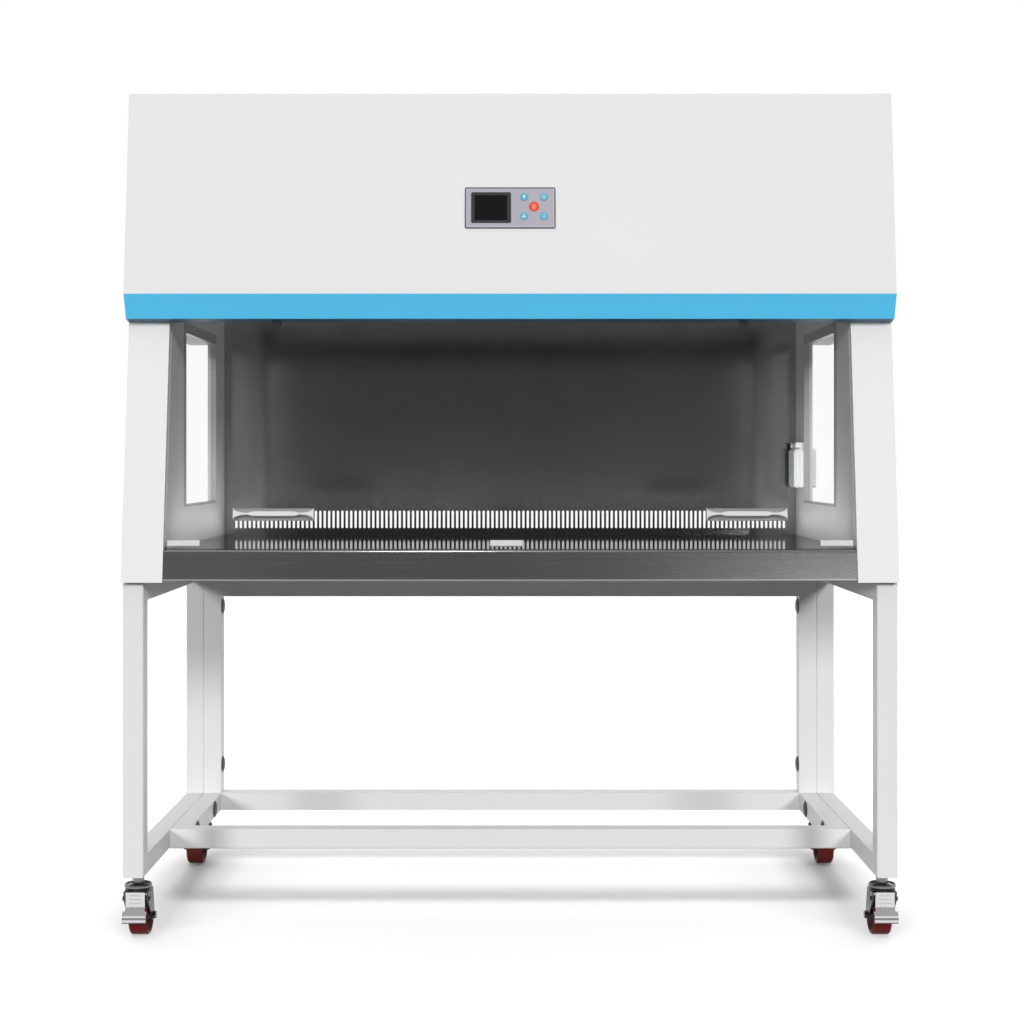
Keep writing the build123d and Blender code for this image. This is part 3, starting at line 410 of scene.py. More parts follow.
@dataclass(frozen=True)
class BrushedSteel(Finish):
    """Stainless sheet: fine scratches one way, a wide smear and a few wiping marks."""

    colour: Colour = (0.5, 0.5, 0.5)
    grain: Grain = Grain.LEVEL
    roughness: float = 0.3
    spread: float = 0.14
    depth: float = 0.00002
    smear: float = 0.6
    turn: float = 0.25
    metal: float = 1.0
    level_polish_and_sheen: float | None = None
    edge: float = 1.0

    def shader(self, bench: Bench) -> Wire:
        """Streak the colour, roughness and height by the grain; smooth what is level and paint a
        paler sheen on it.
        """
        fine = bench.noise(self.grain.value, 3.0, 0.7)
        wide = bench.noise(tuple(part * 0.12 for part in self.grain.value), 2.0)
        wipe = bench.noise((2.2, 2.2, 0.9), 3.0, 0.6, (3.0, 1.0, 7.0))
        streak = fine * 0.6 + wide * 0.4
        colour = bench.tone(self.colour, 0.82, 1.16, streak)
        rough = self.roughness + self.spread * (streak - 0.5) + 0.08 * (wipe - 0.5)
        if self.level_polish_and_sheen is not None:
            level = bench.facing()[2].ramp(0.25, 0.6)
            rough = rough + (self.level_polish_and_sheen + 0.03 * wipe - rough) * level
            fine = fine * (1.0 - 0.85 * level)
            # painted sheen: what is level is made paler, standing in for the brighter reflection on
            # top
            colour = bench.mix(colour, shade_of(self.colour, 1.7), level)
        return bench.principled(
            Base_Color=bench.mix(colour, shade_of(self.colour, 0.9), wipe.ramp(0.4, 0.75) * 0.6),
            Metallic=self.metal,
            Roughness=rough,
            Normal=bench.bump(fine, self.depth, 0.5),
            Anisotropic=self.smear,
            Anisotropic_Rotation=self.turn,
            Specular_Tint=grey(self.edge),
        )


@dataclass(frozen=True)
class Plated(Finish):
    """Bright plating with faint ripples, finger marks and dull spots.

    A bead is the height of a rolled lip's lower edge; that edge and the groove above it get painted
    shade.
    """

    colour: Colour = (0.78, 0.78, 0.79)
    roughness: float = 0.12
    ripple: float = 0.0001
    bead: float | None = None
    groove: float = 8.8 * MM
    shadow: Colour = (0.035, 0.035, 0.037)

    def shader(self, bench: Bench) -> Wire:
        """Ripple the mirror a little, dull it in patches and paint shade into the groove and lower
        edge of a rolled lip.
        """
        ripple = bench.noise(90.0, 2.0)
        marks = bench.noise(260.0, 4.0, 0.65)
        colour = bench.tone(self.colour, 0.86, 1.0, marks.ramp(0.25, 0.6))
        if self.bead is not None:
            # painted shade: the groove and the lip's lower edge are darkened to stand in for the
            # shade of the roll
            rise = bench.parts(bench.place())[2] - self.bead
            groove = rise.band(self.groove, 1.4 * MM, 1.2 * MM) * 0.72
            brink_shade = 1.0 - rise.ramp(1.4 * MM, 2.6 * MM)
            colour = bench.mix(colour, self.shadow, groove.most(brink_shade * 0.9))
        return bench.principled(
            Base_Color=colour,
            Metallic=1.0,
            Roughness=self.roughness + 0.16 * marks.ramp(0.45, 0.9),
            Normal=bench.bump(ripple + 0.2 * marks, self.ripple, 0.7),
        )


@dataclass(frozen=True)
class Galvanised(Finish):
    """Zinc-coated sheet with its crystal spangle."""

    colour: Colour = (0.52, 0.54, 0.56)
    spangle: float = 120.0

    def shader(self, bench: Bench) -> Wire:
        """Tone each crystal by its own cell and roughen the lighter ones."""
        cell = bench.node(
            "ShaderNodeSeparateColor",
            inputs={0: bench.cells(self.spangle, output="Color")},
        )
        grime = bench.noise(12.0, 3.0)
        return bench.principled(
            Base_Color=bench.tone(self.colour, 0.78, 1.15, cell * 0.7 + grime * 0.3),
            Metallic=1.0,
            Roughness=0.34 + 0.2 * cell,
            Normal=bench.bump(bench.noise(500.0, 2.0), 0.00003, 0.5),
        )


@dataclass(frozen=True)
class Moulded(Finish):
    """Moulded plastic or rubber with a spark-eroded grain."""

    colour: Colour = (0.8, 0.8, 0.8)
    roughness: float = 0.4
    grain: float = 1500.0
    depth: float = 0.00005
    glow: float = 0.0
    coat: float = 0.0

    def shader(self, bench: Bench) -> Wire:
        """Grain the surface and mottle the colour slightly."""
        grit = bench.noise(self.grain, 2.0, 0.6)
        tone = bench.noise(35.0, 3.0)
        return bench.principled(
            Base_Color=bench.tone(self.colour, 0.9, 1.08, tone),
            Roughness=self.roughness + 0.12 * (tone - 0.5) + 0.06 * (grit - 0.5),
            Normal=bench.bump(grit, self.depth, 0.6),
            Subsurface_Weight=self.glow,
            Subsurface_Scale=0.004,
            Coat_Weight=self.coat,
            Coat_Roughness=0.1,
        )


@dataclass(frozen=True)
class Pane(Finish):
    """Clear float glass: see-through, with a mirror that strengthens at a glancing view.

    The green of the cut edge is held to a rim, found from the piece's own box across the two
    axes other than the thin one.
    """

    low: Point = (0.0, 0.0, 0.0)
    high: Point = (1.0, 1.0, 1.0)
    thin: int = 1
    rim: float = 0.0015
    tint: Colour = (0.99, 0.995, 0.992)
    edge: Colour = (0.22, 0.42, 0.36)
    mirror: float = 0.85

    def shader(self, bench: Bench) -> Wire:
        """Mix a tinted see-through shader with a mirror by Fresnel, and paint the cut edge."""
        axes = bench.parts(bench.place())
        reach = None
        for axis in {0, 1, 2} - {self.thin}:
            middle = (self.low[axis] + self.high[axis]) / 2
            half = (self.high[axis] - self.low[axis]) / 2
            near = abs(axes[axis] - middle) - (half - self.rim)
            reach = near if reach is None else reach.most(near)
        rim = reach.ramp(0.0, 0.4 * MM) * float(self.rim > 0.0)
        smear = bench.noise((7.0, 7.0, 4.0), 4.0, 0.7)
        clear = bench.node("ShaderNodeBsdfTransparent", inputs={"Color": self.tint})
        gloss = bench.node(
            "ShaderNodeBsdfGlossy",
            inputs={"Color": (1.0, 1.0, 1.0), "Roughness": 0.02 + 0.10 * smear.ramp(0.45, 0.8)},
        )
        share = bench.node("ShaderNodeFresnel", inputs={"IOR": 1.45}) * self.mirror
        glass = bench.node("ShaderNodeMixShader", inputs={0: share, 1: clear, 2: gloss})
        cut = bench.principled(Base_Color=self.edge, Roughness=0.25 + 0.2 * smear)
        return bench.node("ShaderNodeMixShader", inputs={0: rim * 0.75, 1: glass, 2: cut})


@dataclass(frozen=True)
class Pleats(Finish):
    """The fine filter: white paper folded into close pleats, with glue beads across them."""

    pitch: float = 0.0045
    bead: float = 0.055

    def shader(self, bench: Bench) -> Wire:
        """Pleat along X by a sine, paint shade in the valleys, and lay a bead along X at every bead
        spacing in Y.
        """
        x, y, _ = bench.parts(bench.place())
        fold_and_shade = (x * (TURN / self.pitch)).sine() * 0.5 + 0.5
        glue = (y * (TURN / self.bead)).sine().ramp(0.93, 0.98)
        fuzz = bench.noise(900.0, 3.0)
        # painted shade: darker in the pleats' valleys, paler on their crests
        colour = bench.mix((0.30, 0.30, 0.29), (0.80, 0.80, 0.77), fold_and_shade * 0.8 + fuzz * 0.2)
        return bench.principled(
            Base_Color=bench.mix(colour, (0.72, 0.70, 0.62), glue),
            Roughness=0.85 - 0.4 * glue,
            Normal=bench.bump(fold_and_shade + glue * 0.5, 0.0015, 0.8),
        )


@dataclass(frozen=True)
class Fibre(Finish):
    """A mat of loose white fibres."""

    colour: Colour = (0.72, 0.73, 0.74)

    def shader(self, bench: Bench) -> Wire:
        """Cross two stretched noises, as tangled threads do."""
        along = bench.noise((700.0, 90.0, 300.0), 4.0, 0.7)
        across = bench.noise((90.0, 700.0, 300.0), 4.0, 0.7, (5.0, 2.0, 1.0))
        tangle = along.most(across)
        return bench.principled(
            Base_Color=bench.tone(self.colour, 0.55, 1.0, tangle.ramp(0.35, 0.7)),
            Roughness=0.95,
            Normal=bench.bump(tangle, 0.001, 0.9),
        )


@dataclass(frozen=True)
class CircuitBoard(Finish):
    """Green laminate with copper traces under the mask and a grid of solder points."""

    pitch: float = 0.00508

    def shader(self, bench: Bench) -> Wire:
        """Draw traces from quantised noise and points from two crossed sines."""
        x, _, z = bench.parts(bench.place())
        turn = TURN / self.pitch
        spots = ((x * turn).sine() * (z * turn).sine()).ramp(0.86, 0.92)
        trace = bench.cells((220.0, 30.0, 380.0), "DISTANCE_TO_EDGE").ramp(0.04, 0.07)
        green = bench.mix((0.03, 0.16, 0.06), (0.02, 0.09, 0.035), trace)
        return bench.principled(
            Base_Color=bench.mix(green, (0.75, 0.74, 0.7), spots),
            Metallic=spots,
            Roughness=0.42 - 0.15 * spots,
            Normal=bench.bump((1.0 - trace) * 0.5 + spots, 0.0001, 0.7),
        )


@dataclass(frozen=True)
class LampGlass(Finish):
    """Fluorescent tubes: milky glass, greyer at the ends, with metal caps.

    The ends are half the length of the front tube and of the rear one.
    """

    ends: tuple[float, float] = (0.6, 0.447)
    split_y: float = -0.12
    cap: float = 16.0 * MM
    greyed: float = 60.0 * MM

    def shader(self, bench: Bench) -> Wire:
        """Grey the glass and turn it to metal near each tube's own ends, along X."""
        x, y, _ = bench.parts(bench.place())
        rear = y.ramp(self.split_y - MM, self.split_y + MM)
        half = self.ends[0] + rear * (self.ends[1] - self.ends[0])
        gap = half - abs(x)
        cap = 1.0 - gap.ramp(self.cap, self.cap + 0.5 * MM)
        dark = 1.0 - gap.ramp(self.cap + 4.0 * MM, self.greyed)
        haze = bench.noise(30.0, 3.0)
        glass = bench.mix((0.86, 0.87, 0.86), (0.42, 0.42, 0.44), dark * 0.6 + haze * 0.12)
        return bench.principled(
            Base_Color=bench.mix(glass, (0.6, 0.6, 0.6), cap),
            Metallic=cap,
            Roughness=0.16 + 0.15 * cap + 0.06 * haze,
            Normal=bench.bump(haze, 0.0001, 0.3),
        )


@dataclass(frozen=True)
class Leaning(Finish):
    """A finish drawn in the leaning plane of the control panel."""

    centre_z: float = 1.421
    slope: float = 0.9927

    def plane(self, bench: Bench) -> tuple[Wire, Wire]:
        """Places across the plane and up it from its middle."""
        x, _, z = bench.parts(bench.place())
        return x, (z - self.centre_z) * (1.0 / self.slope)


@dataclass(frozen=True)
class Foil(Leaning):
    """The control plate: a satin silver foil inside a thin dark line, with rounded corners and a
    painted highlight.
    """

    half_width: float = 0.0881
    half_height: float = 0.04065
    line: float = 1.8 * MM
    corner: float = 3.0 * MM
    soft: float = 0.3 * MM
    highlight_slope: float = 0.46
    satin: Colour = (0.62, 0.585, 0.67)
    rule: Colour = (0.075, 0.075, 0.078)

    def shader(self, bench: Bench) -> Wire:
        """Measure the distance inside a rounded rectangle, rule a line along its edge and paint a
        highlight inside it.
        """
        x, rise = self.plane(bench)
        across = abs(x) - (self.half_width - self.corner)
        along = abs(rise) - (self.half_height - self.corner)
        over_x, over_z = across.most(0.0), along.most(0.0)
        square = over_x * over_x + over_z * over_z
        inside = self.corner - square.math("SQRT", square) - across.most(along).least(0.0)
        dark = 1.0 - inside.ramp(self.line, self.line + self.soft)
        # painted highlight: a thin pale line just inside the rule on the lower right, where the
        # relief catches light
        highlit_side = (x * self.highlight_slope - rise).ramp(-0.5 * MM, 0.5 * MM)
        bright = inside.band(self.line + 0.8 * MM, 0.4 * MM, self.soft) * highlit_side
        grit = bench.noise(1800.0, 2.0)
        tone = bench.noise((9.0, 9.0, 3.0), 2.0)
        satin = bench.tone(self.satin, 0.94, 1.05, tone)
        face = bench.mix(satin, (0.86, 0.86, 0.86), bright)
        return bench.principled(
            Base_Color=bench.mix(face, self.rule, dark),
            Metallic=0.35 * (1.0 - dark),
            Roughness=0.38 + 0.1 * (grit - 0.5),
            Normal=bench.bump(grit, 0.00003, 0.5),
        )


@dataclass(frozen=True)
class Screen(Leaning):
    """The display: a moulded surround and a black glass, found in the leaning plane."""

    centre_x: float = -0.0376
    half_width: float = 0.0317
    half_height: float = 0.0248
    surround: Colour = (0.042, 0.042, 0.045)
    glass: Colour = (0.008, 0.008, 0.009)

    def shader(self, bench: Bench) -> Wire:
        """Tell glass from surround by a box mask, and dust the glass a little."""
        x, rise = self.plane(bench)
        over = (abs(x - self.centre_x) - self.half_width).most(abs(rise) - self.half_height)
        case = over.ramp(-0.0001, 0.0003)
        grit = bench.noise(1500.0, 2.0)
        dust = bench.noise(420.0, 4.0, 0.7).ramp(0.62, 0.8) * (1.0 - case)
        colour = bench.mix(self.glass, self.surround, case)
        return bench.principled(
            Base_Color=bench.mix(colour, (0.03, 0.03, 0.032), dust),
            Roughness=0.12 + 0.36 * case + 0.1 * dust,
            Normal=bench.bump(grit * case, 0.00004, 0.6),
        )


@dataclass(frozen=True)
class Urethane(Finish):
    """The tyre: dark red, half-clear urethane with scuffs on its tread."""

    colour: Colour = (0.18, 0.009, 0.012)
    worn: Colour = (0.075, 0.027, 0.02)

    def shader(self, bench: Bench) -> Wire:
        """Brown the red by cloudy wear and scuff it finely."""
        wear = bench.noise(28.0, 4.0, 0.6)
        scuff = bench.noise(400.0, 3.0, 0.7)
        return bench.principled(
            Base_Color=bench.mix(self.colour, self.worn, wear.ramp(0.35, 0.7)),
            Roughness=0.28 + 0.25 * scuff.ramp(0.4, 0.7),
            Normal=bench.bump(scuff, 0.0001, 0.5),
            Specular_IOR_Level=0.08,
        )


# mesh work


def mesh_of(name: str, shape: Shape) -> bpy.types.Mesh:
    """A mesh from a shape's vertices and faces."""
    mesh = bpy.data.meshes.new(name)
    mesh.from_pydata(shape[0].tolist(), [], [list(map(int, face)) for face in shape[1]])
    return mesh


def put(name: str, shape: Shape, finish: Finish, body: str) -> bpy.types.Object:
    """Make a piece from arrays, close its seams, face it outwards and let it ride.

    Args:
        name: The piece's name.
        shape: Its vertices, in the row frame, and faces.
        finish: What it is made of.
        body: The body that carries it.

    Returns:
        The piece.
    """
    import bmesh

    mesh = mesh_of(name, shape)
    work = bmesh.new()
    work.from_mesh(mesh)
    bmesh.ops.remove_doubles(work, verts=work.verts, dist=2e-6)
    bmesh.ops.dissolve_degenerate(work, edges=work.edges, dist=1e-7)
    bmesh.ops.recalc_face_normals(work, faces=work.faces)
    work.to_mesh(mesh)
    work.free()
    mesh.materials.append(finish.material())
    made = bpy.data.objects.new(name, mesh)
    bpy.context.scene.collection.objects.link(made)
    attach(made, body)
    return made


def grid_faces(rows: int, columns: int, wrap_rows: bool, wrap_columns: bool) -> np.ndarray:
    """Quads over a grid of points numbered row by row.

    Args:
        rows: Points along the first parameter.
        columns: Points along the second.
        wrap_rows: Whether the last row joins the first.
        wrap_columns: Whether the last column joins the first.

    Returns:
        Corner numbers, m by 4.
    """
    u = np.arange(rows if wrap_rows else rows - 1)
    v = np.arange(columns if wrap_columns else columns - 1)
    low_u, low_v = np.meshgrid(u, v, indexing="ij")
    high_u, high_v = (low_u + 1) % rows, (low_v + 1) % columns
    corners = [(low_u, low_v), (high_u, low_v), (high_u, high_v), (low_u, high_v)]
    return np.stack([(a * columns + b).ravel() for a, b in corners], axis=1)


def lathe(profile: np.ndarray, centre: Point, axis: Point, sides: int = 24) -> Shape:
    """A turned shape: each profile point goes round the axis.

    A point is the centre, plus its height along the axis, plus its radius times the cosine and
    sine of the turn along two directions square to the axis.

    Args:
        profile: Radius and height of each point, n by 2, metres.
        centre: Where height nought lies.
        axis: Direction of the height.
        sides: Steps round the turn.

    Returns:
        Vertices and faces.
    """
    along = np.array(axis, float) / np.linalg.norm(axis)
    aside = np.cross(along, (1.0, 0.0, 0.0) if abs(along[0]) < 0.7 else (0.0, 0.0, 1.0))
    aside /= np.linalg.norm(aside)
    third = np.cross(along, aside)
    turn = np.linspace(0.0, TURN, sides, endpoint=False)
    ring = np.cos(turn)[:, None] * aside + np.sin(turn)[:, None] * third
    points = profile[:, 0][:, None, None] * ring + profile[:, 1][:, None, None] * along
    vertices = points.reshape(-1, 3) + np.array(centre)
    return vertices, grid_faces(len(profile), sides, False, True)


def loft(rings: np.ndarray) -> Shape:
    """A tube through closed rings of as many points each, with its ends capped.

    Args:
        rings: The points, rings by points by 3, metres.

    Returns:
        Vertices and faces.
    """
    count, size = rings.shape[:2]
    faces = grid_faces(count, size, False, True).tolist()
    faces += [list(range(size)), list(range((count - 1) * size, count * size))]
    return rings.reshape(-1, 3), faces


def carry(profile: np.ndarray, path: np.ndarray, across: np.ndarray, out: Point) -> Shape:
    """A closed profile carried along a path, with its ends capped.

    A point is the path's point, plus the profile's first figure along the path's own sideways
    direction, plus its second figure along the outward direction.

    Args:
        profile: Sideways and outward place of each corner, n by 2, metres.
        path: The points followed, m by 3.
        across: The sideways direction at each path point, m by 3.
        out: The outward direction.

    Returns:
        Vertices and faces.
    """
    sideways = profile[:, 0][None, :, None] * across[:, None, :]
    outward = profile[:, 1][None, :, None] * np.array(out)[None, None, :]
    return loft(path[:, None, :] + sideways + outward)


def points_of(node: bpy.types.Object) -> np.ndarray:
    """A node's vertices in the row frame, n by 3."""
    points = np.zeros(len(node.data.vertices) * 3)
    node.data.vertices.foreach_get("co", points)
    return points.reshape(-1, 3)


def leaning(angle: float) -> tuple[np.ndarray, np.ndarray]:
    """The ways up and out of a front that leans back by an angle in radians."""
    sine, cosine = math.sin(angle), math.cos(angle)
    return np.array([0.0, sine, cosine]), np.array([0.0, -cosine, sine])


def gather(parts: Sequence[Shape]) -> Shape:
    """Several shapes as one."""
    vertices, faces, start = [], [], 0
    for points, corners in parts:
        vertices.append(points)
        faces.extend([[int(corner) + start for corner in face] for face in corners])
        start += len(points)
    return np.concatenate(vertices), faces


# the studio


def stand(name: str, data: bpy.types.ID) -> bpy.types.Object:
    """Put an object with the given data into the scene."""
    made = bpy.data.objects.new(name, data)
    bpy.context.scene.collection.objects.link(made)
    return made


def plain(name: str) -> tuple[bpy.types.Material, Bench]:
    """An empty material with the bench of its nodes."""
    made = bpy.data.materials.new(name)
    made.use_nodes = True
    return made, Bench(made.node_tree)


def prop(name: str, shape: Shape, material: bpy.types.Material) -> bpy.types.Object:
    """A piece of the studio, of the given shape and material."""
    mesh = mesh_of(name, shape)
    mesh.materials.append(material)
    return stand(name, mesh)


@dataclass
class Studio:
    """The camera, the light, the floor and the white surround.

    The suns give the paint its tone and shiny surfaces don't show them; the soft boxes show in
    them. A lamp held to some pieces stands in for light that the real room gave only them.
    """

    eye: Point = (0.0, -3.645, 0.9216)
    lens: float = 59.94
    shift: tuple[float, float] = (0.0018, -0.0469)
    reach: float = 14.0
    dim: float = 0.075
    bright: float = 1.0
    key: float = 1.52
    key_width: float = 12.0
    top: float = 0.35
    ground: float = 2.5
    foot: float = 0.33
    strips: float = 0.45

    def camera(self) -> None:
        """Stand the camera level in front, with the photograph's framing."""
        data = bpy.data.cameras.new("camera")
        data.sensor_width = 36.0
        data.lens = self.lens
        data.shift_x, data.shift_y = self.shift
        data.clip_end = 100.0
        made = stand("camera", data)
        made.location = self.eye
        made.rotation_euler = Euler((math.pi / 2, 0.0, 0.0))
        bpy.context.scene.camera = made

    def world(self) -> None:
        """A room that is dim in front of the hood and white behind and above it."""
        world = bpy.data.worlds.new("studio")
        world.use_nodes = True
        bpy.context.scene.world = world
        bench = Bench(world.node_tree)
        direction = bench.node("ShaderNodeTexCoord", output="Generated")
        _, depth, height = bench.parts(direction)
        back = depth.ramp(-0.10, 0.35)
        above = height.ramp(0.35, 0.9)
        below = (height * -1.0).ramp(0.0, 0.3)
        level = self.dim + (self.bright - self.dim) * (back * (1.0 - below)).most(above * 0.5)
        colour = bench.node("ShaderNodeCombineColor", inputs={0: level, 1: level, 2: level})
        sky = bench.node("ShaderNodeBackground", inputs={"Color": colour, "Strength": 1.0})
        bench.close(sky, "ShaderNodeOutputWorld")

    def sun(self, name: str, turn: Point, strength: float, angle: float) -> bpy.types.Object:
        """Add a soft lamp at a great distance, which shiny surfaces don't show.

        Args:
            name: The lamp's name.
            turn: Its rotation in degrees about X, Y and Z.
            strength: Its strength.
            angle: The width of the light, in degrees.

        Returns:
            The lamp.
        """
        data = bpy.data.lights.new(name, "SUN")
        data.energy = strength
        data.angle = math.radians(angle)
        made = stand(name, data)
        made.rotation_euler = Euler(tuple(math.radians(part) for part in turn))
        made.visible_glossy = False
        return made

    def group(
        self, name: str, members: Sequence[bpy.types.Object], state: str = "INCLUDE"
    ) -> bpy.types.Collection:
        """Gather objects that a lamp is held to, or kept off.

        Args:
            name: The group's name.
            members: What is in it.
            state: INCLUDE to hold the lamp to them, EXCLUDE to keep it off them.

        Returns:
            The group.
        """
        made = bpy.data.collections.new(name)
        for member in members:
            made.objects.link(member)
        for entry in made.collection_objects:
            entry.light_linking.link_state = state
        return made

    def strip(
        self,
        name: str,
        centre: Point,
        size: tuple[float, float],
        power: float,
        aim: Point = (0.0, 0.0, 1.0),
    ) -> bpy.types.Object:
        """Add a soft box that looks at a point.

        Args:
            name: The lamp's name.
            centre: Where it stands.
            size: Its width and height.
            power: Its power in watts.
            aim: The point it looks at.

        Returns:
            The lamp.
        """
        data = bpy.data.lights.new(name, "AREA")
        data.shape = "RECTANGLE"
        data.size, data.size_y = size
        data.energy = power
        made = stand(name, data)
        made.location = centre
        look = Vector(aim) - Vector(centre)
        made.rotation_euler = look.to_track_quat("-Z", "Y").to_euler()
        made.visible_camera = False
        return made

    def surround(self) -> bpy.types.Object:
        """Lay the floor and hang the white dome, which only the camera sees.

        Returns:
            The floor.
        """
        matte, bench = plain("studio_floor")
        grain = bench.noise(2.0, 2.0)
        bench.close(
            bench.principled(
                Base_Color=bench.mix((0.93, 0.93, 0.93), (0.95, 0.95, 0.95), grain),
                Roughness=0.7,
                Specular_IOR_Level=0.2,
            )
        )
        count = 64
        angle = np.linspace(0.0, TURN, count, endpoint=False)
        disc = self.reach * np.stack([np.cos(angle), np.sin(angle), np.zeros(count)], axis=1)
        floor = prop("floor", (disc, [range(count)]), matte)
        floor.visible_diffuse = False

        white, bench = plain("studio_white")
        bench.close(
            bench.node("ShaderNodeEmission", inputs={"Color": (1.0, 1.0, 1.0), "Strength": 1.0})
        )
        lift = np.linspace(-0.2, math.pi / 2, 12)
        profile = self.reach * np.stack([np.cos(lift), np.sin(lift)], axis=1)
        dome = lathe(profile, (0.0, 0.0, 0.0), (0.0, 0.0, 1.0), 48)
        dome = prop("backdrop", dome, white)
        dome.visible_diffuse = dome.visible_glossy = dome.visible_shadow = False
        dome.visible_transmission = dome.visible_volume_scatter = False
        return floor

    def build(self, nodes: Mapping[str, bpy.types.Object]) -> None:
        """Set the whole studio up.

        Args:
            nodes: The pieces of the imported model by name, for the lamps held to some of them.
        """
        self.camera()
        self.world()
        floor = self.surround()
        off_floor = self.group("off_floor", [floor], "EXCLUDE")
        on_floor = self.group("on_floor", [floor])
        inner = ("side_panel", "window_trim", "sash_guide", "socket_plate", "socket_flap")
        inner += ("ceiling_diffuser",)
        tubes = [node for name, node in nodes.items() if "frame" in name]
        lined = [node for name, node in nodes.items() if name.startswith(inner)]
        under, sheets = self.group("casts_on_floor", tubes), self.group("inner_sheets", lined)
        for name, turn, strength, width in (
            ("key_right", (69.0, 0.0, 24.0), self.key, self.key_width),
            ("key_left", (76.0, 0.0, -25.0), self.key, self.key_width),
            ("top", (10.0, 0.0, 0.0), self.top, 60.0),
        ):
            self.sun(name, turn, strength, width).light_linking.receiver_collection = off_floor
        ground = self.sun("ground", (28.0, 0.0, 0.0), self.ground, 42.0)
        ground.light_linking.receiver_collection = on_floor
        ground.light_linking.blocker_collection = under
        for side in (-1, 1):
            place, aim = (0.56 * side, 0.02, 0.775), (0.67 * side, 0.02, 0.90)
            lamp = self.strip(f"foot_{side}", place, (0.6, 0.05), self.foot, aim)
            lamp.visible_glossy = False
            lamp.light_linking.receiver_collection = sheets
            self.strip(f"strip_{side}", (1.27 * side, -3.9, 1.3), (0.15, 2.2), self.strips)
        bounce = self.strip("bounce", (0.0, 0.02, 0.77), (1.2, 0.6), 1.5, (0.0, 0.02, 2.0))
        bounce.visible_glossy = False
        bounce.light_linking.receiver_collection = sheets
        steel = self.group("front_steel", [nodes["worktop"]])
        for name, centre, size, power in (
            ("glint", (-0.34, -2.6, 3.2), (0.3, 1.4), 20.0),
            ("glow_right", (1.40, -3.9, 0.6), (0.4, 1.4), 15.0),
            ("glow_left", (-1.50, -3.9, 0.6), (0.4, 1.4), 1.0),
        ):
            lamp = self.strip(name, centre, size, power, (0.0, -0.3, 0.72))
            lamp.light_linking.receiver_collection = steel
        view = bpy.context.scene.view_settings
        view.view_transform = "Standard"
        view.look = "None"
        view.exposure = 0.0
        view.gamma = 1.0


# the hood


@dataclass
class Wardrobe:
    """The finish of every carried-over node of the CAD model."""

    frame: dict
    coats: dict[str, Finish] = field(default_factory=dict)

    def wear(self, finish: Finish, *nodes: str) -> None:
        """Give the named nodes a finish; a trailing star takes every node that starts so.

        Args:
            finish: What they are made of.
            nodes: Names, or starts of names with a star.
        """
        for pattern in nodes:
            stem = pattern.rstrip("*")
            for name, node in self.frame["nodes"].items():
                if name == pattern or (pattern.endswith("*") and name.startswith(stem)):
                    self.coats[name] = finish
                    node.data.materials.clear()
                    node.data.materials.append(finish.material())

    def check(self) -> None:
        """Stop if a node has been left as it came."""
        left = sorted(set(self.frame["nodes"]) - set(self.coats))
        if left:
            raise ValueError(f"nodes with no finish: {left}")


@dataclass
class Assembly:
    """A group of pieces that are dressed together."""

    wardrobe: Wardrobe

    def wear(self, finish: Finish, *nodes: str) -> None:
        """Give the named nodes a finish."""
        self.wardrobe.wear(finish, *nodes)

    def build(self) -> None:
        """Dress the nodes and make what is added to them."""
        raise NotImplementedError


